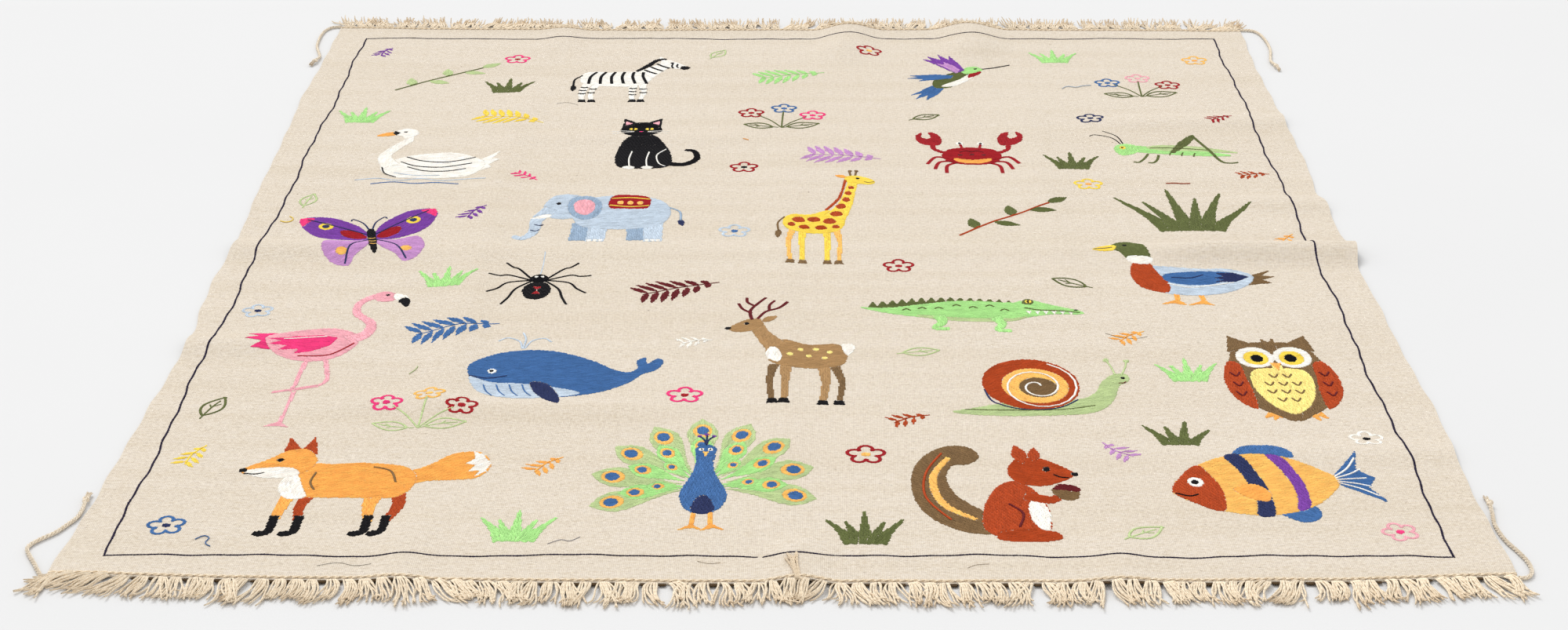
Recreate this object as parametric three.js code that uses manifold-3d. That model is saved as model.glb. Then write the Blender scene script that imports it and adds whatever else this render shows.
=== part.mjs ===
// A flat-woven wool kilim with embroidery, lying on a floor: the cloth with its outline and its soft
// ridges, a knotted fringe at each end, and a plied cord with a knotted end at each corner.
// Millimetres. X runs across the width, Y along the warp away from the viewer, Z up from the floor.

import * as THREE from "three";
import { mergeVertices } from "three/addons/utils/BufferGeometryUtils.js";
import Module from "manifold-3d";

const wasm = await Module();
wasm.setup();

// The cloth
const CLOTH_THICK = 3;
const HALF_WIDTH = 1000;
const COLUMNS = 32;
const ROWS = 38;

// The sides wander a little: where the left and right selvedge lie at each distance along the warp.
const SIDES = [
  { y: -1210, left: -1003, right: 996 },
  { y: -970, left: -991, right: 991 },
  { y: -700, left: -985, right: 998 },
  { y: -560, left: -979, right: 993 },
  { y: -440, left: -975, right: 991 },
  { y: -300, left: -986, right: 992 },
  { y: -190, left: -990, right: 988 },
  { y: -60, left: -984, right: 996 },
  { y: 20, left: -986, right: 985 },
  { y: 110, left: -990, right: 989 },
  { y: 200, left: -995, right: 981 },
  { y: 360, left: -997, right: 989 },
  { y: 600, left: -1002, right: 988 },
  { y: 730, left: -1008, right: 986 },
  { y: 920, left: -1004, right: 984 },
  { y: 1200, left: -1005, right: 991 },
];

// The two ends bow: where the near and far edge lie at each distance across the width.
const ENDS = [
  { x: -1000, near: -1203, far: 1208 },
  { x: -700, near: -1216, far: 1197 },
  { x: -300, near: -1224, far: 1190 },
  { x: 0, near: -1227, far: 1192 },
  { x: 400, near: -1226, far: 1194 },
  { x: 750, near: -1221, far: 1188 },
  { x: 1000, near: -1208, far: 1184 },
];

// Soft ridges from having been folded in four each way, and loose ripples at the edges. A crest runs
// through x, y, turned from +X by turn degrees. It keeps its height for half of its reach to each
// side and fades over the rest, and it is half wide to each side.
const RIDGES = [
  { x: -552, y: 420, turn: 88, reach: 480, half: 62, height: 5 },
  { x: -542, y: -330, turn: 91, reach: 560, half: 62, height: 6 },
  { x: -525, y: -1190, turn: 90, reach: 190, half: 62, height: 6 },
  { x: -12, y: -360, turn: 90, reach: 880, half: 60, height: 4 },
  { x: 20, y: -1225, turn: 92, reach: 150, half: 60, height: 9 },
  { x: 455, y: -1225, turn: 88, reach: 200, half: 64, height: 5 },
  { x: 470, y: 260, turn: 90, reach: 640, half: 62, height: 3 },
  { x: 125, y: 1205, turn: 86, reach: 270, half: 84, height: 15 },
  { x: 387, y: 1205, turn: 93, reach: 250, half: 92, height: 17 },
  { x: -505, y: 1205, turn: 90, reach: 200, half: 64, height: 6 },
  { x: 985, y: -85, turn: 1, reach: 470, half: 62, height: 21 },
  { x: -985, y: -62, turn: -1, reach: 330, half: 60, height: 9 },
  { x: 0, y: -75, turn: 0, reach: 1150, half: 60, height: 3 },
  { x: 985, y: 150, turn: -2, reach: 230, half: 58, height: 8 },
  { x: 880, y: 595, turn: 1, reach: 330, half: 62, height: 7 },
  { x: -300, y: 500, turn: 0, reach: 300, half: 60, height: 5 },
  { x: -985, y: -470, turn: 2, reach: 210, half: 60, height: 10 },
  { x: -450, y: -690, turn: -4, reach: 330, half: 62, height: 6 },
  { x: 860, y: -850, turn: 3, reach: 320, half: 64, height: 5 },
];

// The fringe: bundles of warp ends, knotted under a twined heading
const GAP = 0.3;
const HEADING_DEEP = 6;
const HEADING_THICK = 4.5;
const BUNDLES = 86;
const BUNDLE_LONG = { near: 58, far: 54 };
const ROOT_IN = 3;
const CORNER_INSET = 8;
// The share of its length in which a bundle comes down from a raised edge to the floor.
const FALL_SHARE = 0.625;
// How far a bundle leans from straight out, in radians: two slow drifts along the edge, each over a
// distance in millimetres, and a splay at the corners.
const DRIFTS = [
  { angle: 0.2, over: 52, shift: 2.1 },
  { angle: 0.16, over: 131, shift: 1 },
];
const SPLAY = 0.75;
const SPLAY_POWER = 5;
// Along a bundle: its share of the length, its width and its height off the floor.
const BUNDLE_STATIONS = [
  { share: 0, wide: 6, low: 0.5, high: 3.9 },
  { share: 0.2, wide: 10, low: 0, high: 6.5 },
  { share: 0.7, wide: 12, low: 0, high: 5.5 },
  { share: 1, wide: 8, low: 0, high: 3 },
];

// The corner cords: plied warp yarns, each tied in a knot before its cut end
const CORD_THICK = 6.5;
const CORD_SIDES = 8;
const CORD_STEP = 14;
const KNOT_SIDES = 10;
const KNOT_RADIUS = 6.2;
const KNOT_RISE = KNOT_RADIUS - CORD_THICK / 2;
// The knot and its brush of cut ends, turned about the cord's own line: distance on, and radius.
const KNOT_PROFILE = [
  { on: 0, radius: 3 },
  { on: 2.5, radius: 5.6 },
  { on: 6.5, radius: KNOT_RADIUS },
  { on: 10.5, radius: 5.4 },
  { on: 13, radius: 3.4 },
  { on: 21, radius: 4.8 },
  { on: 33, radius: 5.6 },
];
// Where each cord lies on the floor, from just outside the end of the heading to its knot.
const CORD_ROUTES = {
  near_left: {
    end: -1,
    side: -1,
    lies: [
      [-1013, -1206], [-1022, -1198], [-1033, -1175], [-1044, -1148], [-1051, -1127], [-1048, -1108],
      [-1037, -1089], [-1023, -1065], [-1009, -1040], [-1002, -1020], [-1003, -1001],
    ],
  },
  near_right: {
    end: -1,
    side: 1,
    lies: [
      [1006, -1211], [1017, -1206], [1025, -1191], [1026, -1165], [1019, -1130],
      [1011, -1095], [1006, -1060], [1004, -1030], [1006, -1010],
    ],
  },
  far_left: {
    end: 1,
    side: -1,
    lies: [
      [-1016, 1211], [-1028, 1204], [-1037, 1184], [-1040, 1150], [-1039, 1110],
      [-1035, 1070], [-1024, 1030], [-1017, 1000], [-1020, 975],
    ],
  },
  far_right: {
    end: 1,
    side: 1,
    lies: [
      [1001, 1187], [1014, 1185], [1026, 1170], [1033, 1140], [1036, 1095],
      [1035, 1050], [1028, 1005], [1023, 970], [1027, 942],
    ],
  },
};

const WOOL = { color: 0xe9dcc6, roughness: 0.95, metalness: 0 };
const WARP = { color: 0xe7d6be, roughness: 0.92, metalness: 0 };

const mix = (a, b, t) => a + (b - a) * t;
const hump = (t) => (Math.abs(t) < 1 ? 0.5 + 0.5 * Math.cos(Math.PI * t) : 0);

// Reads one column of a table of rows, easing from row to row.
function reading(rows, key, column, at) {
  const next = rows.findIndex((row) => row[key] > at);
  if (next === 0) return rows[0][column];
  if (next < 0) return rows[rows.length - 1][column];
  const [a, b] = [rows[next - 1], rows[next]];
  const t = (at - a[key]) / (b[key] - a[key]);
  return mix(a[column], b[column], t * t * (3 - 2 * t));
}

// How far the cloth's underside is off the floor.
function lift(x, y) {
  let height = 0;
  for (const ridge of RIDGES) {
    const turn = THREE.MathUtils.degToRad(ridge.turn);
    const along = (x - ridge.x) * Math.cos(turn) + (y - ridge.y) * Math.sin(turn);
    const across = (y - ridge.y) * Math.cos(turn) - (x - ridge.x) * Math.sin(turn);
    const fade = Math.max(0, (2 * Math.abs(along)) / ridge.reach - 1);
    height += ridge.height * hump(fade) * hump(across / ridge.half);
  }
  return height;
}

// A place in the cloth, from 0 to 1 across its width and along its length.
function place(across, along) {
  const nominal = mix(-HALF_WIDTH, HALF_WIDTH, across);
  const y = mix(reading(ENDS, "x", "near", nominal), reading(ENDS, "x", "far", nominal), along);
  const x = mix(reading(SIDES, "y", "left", y), reading(SIDES, "y", "right", y), across);
  return { x, y };
}

// Evenly spaced shares from 0 to 1, each nearest one moved onto a crest.
function lines(count, crests) {
  const shares = Array.from({ length: count + 1 }, (_, i) => i / count);
  for (const crest of crests) {
    const nearest = Math.round(crest * count);
    if (nearest > 0 && nearest < count) shares[nearest] = crest;
  }
  return shares;
}

const isLengthways = (ridge) => Math.abs(ridge.turn) > 45;
const columnLines = lines(
  COLUMNS,
  RIDGES.filter(isLengthways).map((ridge) => (ridge.x + HALF_WIDTH) / (2 * HALF_WIDTH)),
);
const clothLength = ENDS[3].far - ENDS[3].near;
const rowLines = lines(
  ROWS,
  RIDGES.filter((ridge) => !isLengthways(ridge)).map((ridge) => (ridge.y - ENDS[3].near) / clothLength),
);

function geometryOf(points, faces) {
  const geometry = new THREE.BufferGeometry();
  geometry.setAttribute("position", new THREE.Float32BufferAttribute(points.flat(), 3));
  geometry.setIndex(faces.flat());
  geometry.computeVertexNormals();
  return geometry;
}

// The cloth: a top and an underside over the same lines, joined by a wall round the edge.
function clothGeometry() {
  const points = [];
  for (const thick of [0, CLOTH_THICK]) {
    for (const along of rowLines) {
      for (const across of columnLines) {
        const { x, y } = place(across, along);
        points.push([x, y, lift(x, y) + thick]);
      }
    }
  }
  const wide = COLUMNS + 1;
  const layer = wide * (ROWS + 1);
  const faces = [];
  for (let row = 0; row < ROWS; row++) {
    for (let column = 0; column < COLUMNS; column++) {
      const a = row * wide + column;
      const [b, c, d] = [a + 1, a + wide + 1, a + wide];
      faces.push([a, c, b], [a, d, c]);
      faces.push([layer + a, layer + b, layer + c], [layer + a, layer + c, layer + d]);
    }
  }
  const rim = [];
  for (let column = 0; column < COLUMNS; column++) rim.push(column);
  for (let row = 0; row < ROWS; row++) rim.push(row * wide + COLUMNS);
  for (let column = COLUMNS; column > 0; column--) rim.push(ROWS * wide + column);
  for (let row = ROWS; row > 0; row--) rim.push(row * wide);
  rim.forEach((a, i) => {
    const b = rim[(i + 1) % rim.length];
    faces.push([a, b, layer + b], [a, layer + b, layer + a]);
  });
  return geometryOf(points, faces);
}

// A closed body through a row of four-cornered sections.
function loft(sections) {
  const faces = [[0, 2, 1], [0, 3, 2]];
  for (let i = 0; i + 1 < sections.length; i++) {
    for (let k = 0; k < 4; k++) {
      const a = 4 * i + k;
      const b = 4 * i + ((k + 1) % 4);
      faces.push([a, b, b + 4], [a, b + 4, a + 4]);
    }
  }
  const last = 4 * (sections.length - 1);
  faces.push([last, last + 1, last + 2], [last, last + 2, last + 3]);
  return geometryOf(sections.flat(), faces);
}

function solidOf(geometry) {
  const bare = geometry.clone();
  bare.deleteAttribute("normal");
  bare.deleteAttribute("uv");
  const merged = mergeVertices(bare, 1e-4);
  return new wasm.Manifold(
    new wasm.Mesh({
      numProp: 3,
      vertProperties: merged.attributes.position.array,
      triVerts: new Uint32Array(merged.index.array),
    }),
  );
}

function geometryFrom(solid) {
  const { vertProperties, triVerts } = solid.getMesh();
  const geometry = new THREE.BufferGeometry();
  geometry.setAttribute("position", new THREE.BufferAttribute(vertProperties, 3));
  geometry.setIndex(new THREE.BufferAttribute(triVerts, 1));
  geometry.computeVertexNormals();
  return geometry;
}

function lean(x, end) {
  const splay = SPLAY * Math.pow(x / HALF_WIDTH, SPLAY_POWER);
  return DRIFTS.reduce((sum, { angle, over, shift }) => sum + angle * Math.sin(x / over + end * shift), splay);
}

// The heading and its bundles at one end; end is -1 at the near edge and 1 at the far edge.
function fringeGeometry(end) {
  const along = end < 0 ? 0 : 1;
  const long = end < 0 ? BUNDLE_LONG.near : BUNDLE_LONG.far;
  const heading = columnLines.map((across) => {
    const { x, y } = place(across, along);
    const low = lift(x, y);
    const [inner, outer] = [y + end * GAP, y + end * (GAP + HEADING_DEEP)];
    const corners = [
      [x, inner, low],
      [x, inner, low + HEADING_THICK],
      [x, outer, low + HEADING_THICK],
      [x, outer, low],
    ];
    return end < 0 ? corners : corners.reverse();
  });
  let fringe = solidOf(loft(heading));
  const inset = CORNER_INSET / (2 * HALF_WIDTH);
  for (let i = 0; i < BUNDLES; i++) {
    const edge = place(mix(inset, 1 - inset, (i + 0.5) / BUNDLES), along);
    const root = new THREE.Vector2(edge.x, edge.y + end * (GAP + HEADING_DEEP - ROOT_IN));
    const raised = lift(edge.x, edge.y);
    const angle = lean(edge.x, end);
    const ahead = new THREE.Vector2(Math.sin(angle), end * Math.cos(angle));
    const side = new THREE.Vector2(-ahead.y, ahead.x);
    const sections = BUNDLE_STATIONS.map(({ share, wide, low, high }) => {
      const centre = root.clone().addScaledVector(ahead, share * long);
      const up = raised * hump(share / FALL_SHARE);
      const [a, b] = [-wide / 2, wide / 2].map((w) => centre.clone().addScaledVector(side, w));
      return [
        [a.x, a.y, up + low],
        [b.x, b.y, up + low],
        [b.x, b.y, up + high],
        [a.x, a.y, up + high],
      ];
    });
    fringe = fringe.add(solidOf(loft(sections)));
  }
  return geometryFrom(fringe);
}

// The line that a cord follows: out of the end of the heading, over the floor, and up at its own end
// into the middle of its knot.
function cordCurve({ end, side, lies }) {
  const corner = place(side < 0 ? 0 : 1, end < 0 ? 0 : 1);
  const exit = [corner.x + side * GAP, corner.y + end * (GAP + HEADING_DEEP / 2)];
  const flat = [exit, ...lies];
  const points = flat.map(([x, y], i) => {
    const left = flat.length - 1 - i;
    const rise = left === 0 ? KNOT_RISE : left === 1 ? KNOT_RISE / 3 : 0;
    return new THREE.Vector3(x, y, CORD_THICK / 2 + rise);
  });
  return new THREE.CatmullRomCurve3(points);
}

function cordGeometry(route) {
  const curve = cordCurve(route);
  const section = new THREE.Shape();
  for (let i = 0; i < CORD_SIDES; i++) {
    const angle = ((i + 0.5) / CORD_SIDES) * 2 * Math.PI;
    const [x, y] = [Math.cos(angle), Math.sin(angle)].map((v) => (v * CORD_THICK) / 2);
    if (i === 0) section.moveTo(x, y);
    else section.lineTo(x, y);
  }
  section.closePath();
  const steps = Math.round(curve.getLength() / CORD_STEP);
  return new THREE.ExtrudeGeometry(section, { steps, extrudePath: curve });
}

function knotGeometry(route) {
  const curve = cordCurve(route);
  const ahead = curve.getTangent(1).setZ(0).normalize();
  const profile = KNOT_PROFILE.map(({ on, radius }) => new THREE.Vector2(radius, on));
  const length = KNOT_PROFILE[KNOT_PROFILE.length - 1].on;
  const closed = [new THREE.Vector2(0, 0), ...profile, new THREE.Vector2(0, length)];
  const knot = new THREE.LatheGeometry(closed, KNOT_SIDES);
  knot.applyQuaternion(new THREE.Quaternion().setFromUnitVectors(new THREE.Vector3(0, 1, 0), ahead));
  const start = curve.getPoint(1).addScaledVector(ahead, GAP);
  knot.translate(start.x, start.y, start.z);
  return knot;
}

function piece(name, geometry, look) {
  const mesh = new THREE.Mesh(geometry, new THREE.MeshStandardMaterial(look));
  mesh.name = name;
  return mesh;
}

const kilim = new THREE.Group();
kilim.add(
  piece("kilim_cloth", clothGeometry(), WOOL),
  piece("near_fringe", fringeGeometry(-1), WARP),
  piece("far_fringe", fringeGeometry(1), WARP),
);

// The origin is on the floor under the middle of the cloth and its fringes.
const size = new THREE.Box3().setFromObject(kilim);
const middle = size.getCenter(new THREE.Vector3());

for (const [corner, route] of Object.entries(CORD_ROUTES)) {
  kilim.add(
    piece(`cord_${corner}`, cordGeometry(route), WARP),
    piece(`knot_${corner}`, knotGeometry(route), WARP),
  );
}
kilim.position.set(-middle.x, -middle.y, -size.min.z);

export default kilim;
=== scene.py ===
"""The finish of an embroidered wool kilim that lies on a floor: its woven cloth, the knotted fringes,
the corner cords, and every stitch of the border line, the animals and the plants."""

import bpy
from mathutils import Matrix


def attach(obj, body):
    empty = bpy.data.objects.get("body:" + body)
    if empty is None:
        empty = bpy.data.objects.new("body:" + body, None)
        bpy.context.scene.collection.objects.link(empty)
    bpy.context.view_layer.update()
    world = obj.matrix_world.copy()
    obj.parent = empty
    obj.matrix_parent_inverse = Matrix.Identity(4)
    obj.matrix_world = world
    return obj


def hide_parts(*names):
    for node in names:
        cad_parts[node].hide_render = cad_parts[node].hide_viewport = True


bl_info = {
    "name": "Embroidered Kilim",
    "version": (1, 0, 0),
    "blender": (4, 5, 0),
    "location": "View3D > Sidebar > Kilim",
    "description": "Weaves, knots and embroiders a flat-woven wool rug",
    "category": "Add Mesh",
}

import math

import bpy
import numpy as np
from bpy.props import FloatProperty, FloatVectorProperty, IntProperty, PointerProperty

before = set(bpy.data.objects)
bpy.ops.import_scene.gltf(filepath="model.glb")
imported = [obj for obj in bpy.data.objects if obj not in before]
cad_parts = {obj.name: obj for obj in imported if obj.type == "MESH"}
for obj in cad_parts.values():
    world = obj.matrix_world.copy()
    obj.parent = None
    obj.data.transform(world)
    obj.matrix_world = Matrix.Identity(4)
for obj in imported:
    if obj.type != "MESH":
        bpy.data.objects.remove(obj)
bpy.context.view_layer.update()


def linear(colour):
    """An sRGB hex colour as linear red, green and blue."""
    channels = [int(colour[i : i + 2], 16) / 255 for i in (1, 3, 5)]
    return tuple(c / 12.92 if c <= 0.04045 else ((c + 0.055) / 1.055) ** 2.4 for c in channels)


# The dyed embroidery wools
YARNS = {
    "brown": "#755c3e",
    "pale_brown": "#a5835a",
    "orange": "#f2ab57",
    "mustard": "#f2bb66",
    "yellow": "#edcd52",
    "pale_yellow": "#e9d583",
    "sage": "#b0c08c",
    "bright_green": "#a0d084",
    "dark_green": "#5c6339",
    "crimson": "#981f26",
    "rust": "#a5431f",
    "maroon": "#601f23",
    "navy": "#2a3257",
    "blue": "#42689a",
    "light_blue": "#b7c3cf",
    "grey_blue": "#90a3b7",
    "purple": "#754097",
    "lilac": "#b98abb",
    "pink": "#dfa3ac",
    "hot_pink": "#df3e79",
    "white": "#f0eae1",
    "black": "#121114",
    "border": "#221c31",
}

# Where the camera stands, how far it is pitched down from level, and the shift of its frame: the
# photograph's warp lines run together 29 of its 2000 pixels to the right of its middle.
CAMERA_PLACE = (0.038, -4.188, 1.745)
CAMERA_PITCH = math.radians(24.307)
CAMERA_SHIFT = -29 / 2000
CAMERA_LENS_MM = 58.28
SENSOR_MM = 36

# The cloth. Its tables start from the middle of the loom's width and of the warp, and TABLE_SHIFT
# takes them to the frame, whose middle is that of the cloth and its fringes.
TABLE_SHIFT = np.array((0.007824, 0.014140))
HALF_WIDTH = 1.0
# Distance along the warp, and where the left and right selvedge lie there
SIDES = np.array((
    (-1.210, -1.003, 0.996), (-0.970, -0.991, 0.991), (-0.700, -0.985, 0.998), (-0.560, -0.979, 0.993),
    (-0.440, -0.975, 0.991), (-0.300, -0.986, 0.992), (-0.190, -0.990, 0.988), (-0.060, -0.984, 0.996),
    (0.020, -0.986, 0.985), (0.110, -0.990, 0.989), (0.200, -0.995, 0.981), (0.360, -0.997, 0.989),
    (0.600, -1.002, 0.988), (0.730, -1.008, 0.986), (0.920, -1.004, 0.984), (1.200, -1.005, 0.991),
))
# Distance across the width, and where the near and far edge lie there
ENDS = np.array((
    (-1.000, -1.203, 1.208), (-0.700, -1.216, 1.197), (-0.300, -1.224, 1.190), (0.000, -1.227, 1.192),
    (0.400, -1.226, 1.194), (0.750, -1.221, 1.188), (1.000, -1.208, 1.184),
))
# Soft ridges: a point on the crest, the crest's turn in degrees, its reach, its half width, its height
RIDGES = (
    (-0.552, 0.420, 88, 0.480, 0.062, 0.005), (-0.542, -0.330, 91, 0.560, 0.062, 0.006),
    (-0.525, -1.190, 90, 0.190, 0.062, 0.006), (-0.012, -0.360, 90, 0.880, 0.060, 0.004),
    (0.020, -1.225, 92, 0.150, 0.060, 0.009), (0.455, -1.225, 88, 0.200, 0.064, 0.005),
    (0.470, 0.260, 90, 0.640, 0.062, 0.003), (0.125, 1.205, 86, 0.270, 0.084, 0.015),
    (0.387, 1.205, 93, 0.250, 0.092, 0.017), (-0.505, 1.205, 90, 0.200, 0.064, 0.006),
    (0.985, -0.085, 1, 0.470, 0.062, 0.021), (-0.985, -0.062, -1, 0.330, 0.060, 0.009),
    (0.000, -0.075, 0, 1.150, 0.060, 0.003), (0.985, 0.150, -2, 0.230, 0.058, 0.008),
    (0.880, 0.595, 1, 0.330, 0.062, 0.007), (-0.300, 0.500, 0, 0.300, 0.060, 0.005),
    (-0.985, -0.470, 2, 0.210, 0.060, 0.010), (-0.450, -0.690, -4, 0.330, 0.062, 0.006),
    (0.860, -0.850, 3, 0.320, 0.064, 0.005),
)
# Slack in the weave between the ridges: how far apart, along which way in degrees, how high
SLACK = ((0.173, 12, 0.0005), (0.119, 74, 0.0004), (0.077, 128, 0.0003), (0.052, 41, 0.0002))

# The fringe
GAP = 0.0003
HEADING_DEEP = 0.006
BUNDLES = 86
BUNDLE_LONG = {-1: 0.061, 1: 0.057}
# How far the bundles splay at the corners of each end, in radians
SPLAY = {-1: 0.58, 1: 0.15}
CORNER_INSET = 0.004

# The corner cords: the corner, the way out along each axis, and where the cord lies on the floor
CORD_ROUTES = {
    "near_left": (-1, -1, (
        (-1.0105, -1.2050), (-1.0175, -1.1930), (-1.0290, -1.1715), (-1.0435, -1.1460),
        (-1.0500, -1.1300), (-1.0465, -1.1165), (-1.0360, -1.1015), (-1.0225, -1.0850),
        (-1.0125, -1.0640), (-1.0040, -1.0420), (-1.0020, -1.0200), (-1.0030, -1.0010),
    )),
    "near_right": (-1, 1, (
        (1.0055, -1.2110), (1.0130, -1.2050), (1.0190, -1.1900), (1.0190, -1.1650), (1.0125, -1.1370),
        (1.0055, -1.1150), (1.0010, -1.0900), (1.0000, -1.0600), (1.0040, -1.0300), (1.0060, -1.0100),
    )),
    "far_left": (1, -1, (
        (-1.016, 1.211), (-1.028, 1.204), (-1.037, 1.184), (-1.040, 1.150), (-1.039, 1.110),
        (-1.035, 1.070), (-1.024, 1.030), (-1.017, 1.000), (-1.020, 0.975),
    )),
    "far_right": (1, 1, (
        (1.001, 1.187), (1.014, 1.185), (1.026, 1.170), (1.033, 1.140), (1.036, 1.095),
        (1.035, 1.050), (1.028, 1.005), (1.023, 0.970), (1.027, 0.942),
    )),
}
KNOT_RADIUS = 0.0062

# The border line's corners, in the cloth's tables, and the near line's gap, from x to x
BORDER_CORNERS = ((-0.938, -1.151), (0.921, -1.155), (0.923, 1.122), (-0.936, 1.125))
BORDER_GAP = (-0.037, -0.028)

# The embroidery is drawn in millimetres
MM = 0.001
# The animals are stitched taller than they are drawn, to look right from the foot of the rug.
TALLER = 1.3
# Stitches shade one another: a patch looks this much darker than its wool.
STITCH_SHADE = 0.85
# Painted shadow: dark yarn pieces between the knots of the fringe, where the shade under the cloth's edge
# falls: their length, width and height
PAINTED_SHADOW_PIECE = (0.0150, 0.0085, 0.0030)
# Threads left lying on the cloth: the wool, half its thickness in millimetres, and its line
LOOSE_THREADS = (
    ("blue", 0.8, (-822, -1108, -812, -1098, -803, -1104, -806, -1118, -797, -1127)),
    ("light_blue", 0.9, (560, 792, 572, 806, 590, 800, 604, 809, 622, 812)),
    ("yellow", 0.9, (-925, 66, -914, 60, -905, 66, -904, 78, -912, 88)),
    ("rust", 0.9, (706, 252, 722, 254, 738, 252, 752, 253)),
    ("sage", 0.7, (-600, -574, -592, -560, -590, -548)),
    ("orange", 0.8, (-95, 488, -84, 482)),
    ("navy", 0.35, (-330, -1120, -312, -1108, -300, -1112, -286, -1100)),
    ("black", 0.25, (-640, -1180, -612, -1172, -590, -1180, -566, -1178)),
    ("black", 0.25, (520, -420, 540, -436, 566, -440, 588, -432)),
    ("brown", 0.3, (-120, -1168, -104, -1174, -88, -1172)),
    ("black", 0.25, (-480, 700, -462, 706, -446, 700, -436, 690)),
    ("brown", 0.3, (250, -1186, 262, -1178, 280, -1176)),
)


class KilimSizes(bpy.types.PropertyGroup):
    """The sizes of the weave and of its yarns"""

    cloth_thick: FloatProperty(name="Cloth thickness", description="Thickness of the woven cloth",
                               default=0.003, min=0.001, unit="LENGTH")
    mesh_step: FloatProperty(name="Mesh step", description="Spacing of the points of the cloth's mesh",
                             default=0.0135, min=0.004, unit="LENGTH")
    rib_pitch: FloatProperty(name="Rib pitch", description="Distance between two warp ribs of the weave",
                             default=0.0027, min=0.001, unit="LENGTH")
    weft_pitch: FloatProperty(name="Weft pitch", description="Distance between two rows of weft",
                              default=0.0013, min=0.0005, unit="LENGTH")
    stitch_wide: FloatProperty(name="Stitch width", description="Width of one strand of embroidery wool",
                               default=0.0024, min=0.001, unit="LENGTH")
    stitch_long: FloatProperty(name="Stitch length", description="Length of a filling stitch",
                               default=0.0128, min=0.004, unit="LENGTH")
    warp_thick: FloatProperty(name="Warp thickness", description="Thickness of a plied end of the warp",
                              default=0.0029, min=0.001, unit="LENGTH")
    bundle_yarns: IntProperty(name="Yarns in a bundle", description="Warp ends in one knotted bundle",
                              default=11, min=2)
    cord_thick: FloatProperty(name="Cord thickness", description="Thickness of a plied corner cord",
                              default=0.0065, min=0.003, unit="LENGTH")


class KilimColours(bpy.types.PropertyGroup):
    """The colours of the undyed wool and of the floor"""

    cloth: FloatVectorProperty(name="Cloth", description="Undyed wool of the weave", subtype="COLOR",
                               default=linear("#d9cec1"), min=0, max=1)
    streak: FloatVectorProperty(name="Streak", description="Darker fleece spun into the weft",
                                subtype="COLOR", default=linear("#bdab8f"), min=0, max=1)
    fleck: FloatVectorProperty(name="Fleck", description="Dark hairs left in the fleece", subtype="COLOR",
                               default=linear("#7d7266"), min=0, max=1)
    fringe: FloatVectorProperty(name="Fringe", description="Undyed wool of the warp ends", subtype="COLOR",
                                default=linear("#feecd0"), min=0, max=1)
    fringe_tip: FloatVectorProperty(name="Fringe tip", description="Soiled tips of the warp ends",
                                    subtype="COLOR", default=linear("#c7a67c"), min=0, max=1)
    cord: FloatVectorProperty(name="Cord", description="Undyed wool of the corner cords", subtype="COLOR",
                              default=linear("#f8ebd6"), min=0, max=1)
    floor: FloatVectorProperty(name="Floor", description="Pale painted floor", subtype="COLOR",
                               default=linear("#d3d3d3"), min=0, max=1)


class KilimYarns(bpy.types.PropertyGroup):
    """The colours of the embroidery wools"""

    __annotations__ = {
        name: FloatVectorProperty(name=name.replace("_", " ").capitalize(), subtype="COLOR",
                                  description="Embroidery wool", default=linear(dye), min=0, max=1)
        for name, dye in YARNS.items()
    }


def mix(a, b, share):
    return a + (b - a) * share


def hump(t):
    """A smooth hump, 1 at 0 and 0 from 1 outwards."""
    return np.where(np.abs(t) < 1, 0.5 + 0.5 * np.cos(np.pi * t), 0.0)


def reading(table, column, at):
    """Reads one column of a table by its first, easing from row to row."""
    keys = table[:, 0]
    row = np.clip(np.searchsorted(keys, at, side="right") - 1, 0, len(keys) - 2)
    share = np.clip((at - keys[row]) / (keys[row + 1] - keys[row]), 0, 1)
    return mix(table[row, column], table[row + 1, column], share * share * (3 - 2 * share))


def lift(x, y):
    """How far the ridges hold the cloth's underside off the floor."""
    height = np.zeros(np.broadcast(x, y).shape)
    for crest_x, crest_y, degrees, reach, half, high in RIDGES:
        turn = math.radians(degrees)
        along = (x - crest_x) * math.cos(turn) + (y - crest_y) * math.sin(turn)
        across = (y - crest_y) * math.cos(turn) - (x - crest_x) * math.sin(turn)
        height += high * hump(np.maximum(0, 2 * np.abs(along) / reach - 1)) * hump(across / half)
    return height


def slack(x, y):
    """The slight waviness of handspun cloth between its ridges, never below the floor."""
    height = 0
    for apart, degrees, high in SLACK:
        turn = math.radians(degrees)
        along = x * math.cos(turn) + y * math.sin(turn)
        height = height + high * (0.5 + 0.5 * np.sin(2 * math.pi * along / apart))
    return height


def face_height(x, y, thick):
    """The height of the cloth's upper face."""
    return lift(x, y) + slack(x, y) + thick


def place(across, along):
    """A place in the cloth's tables, from 0 to 1 across its width and along its length."""
    nominal = mix(-HALF_WIDTH, HALF_WIDTH, across)
    y = mix(reading(ENDS, 1, nominal), reading(ENDS, 2, nominal), along)
    x = mix(reading(SIDES, 1, y), reading(SIDES, 2, y), across)
    return x, y


def add_node(tree, kind, values=(), links=()):
    """Adds a node, sets its settings and inputs, and links outputs of other nodes to its inputs."""
    node = tree.nodes.new("ShaderNode" + kind)
    for key, value in dict(values).items():
        if isinstance(key, int) or key in node.inputs:
            node.inputs[key].default_value = value
        else:
            setattr(node, key, value)
    for key, source in dict(links).items():
        tree.links.new(source, node.inputs[key])
    return node


def new_material(name):
    """A material with its node tree, its Principled shader and its coordinates."""
    material = bpy.data.materials.new(name)
    material.use_nodes = True
    tree = material.node_tree
    shader = tree.nodes["Principled BSDF"]
    coordinates = add_node(tree, "TexCoord")
    return material, tree, shader, coordinates


def wave_scale(period):
    """The Wave texture's scale for bands that repeat at a period in metres."""
    return math.pi / (10 * period)


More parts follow.
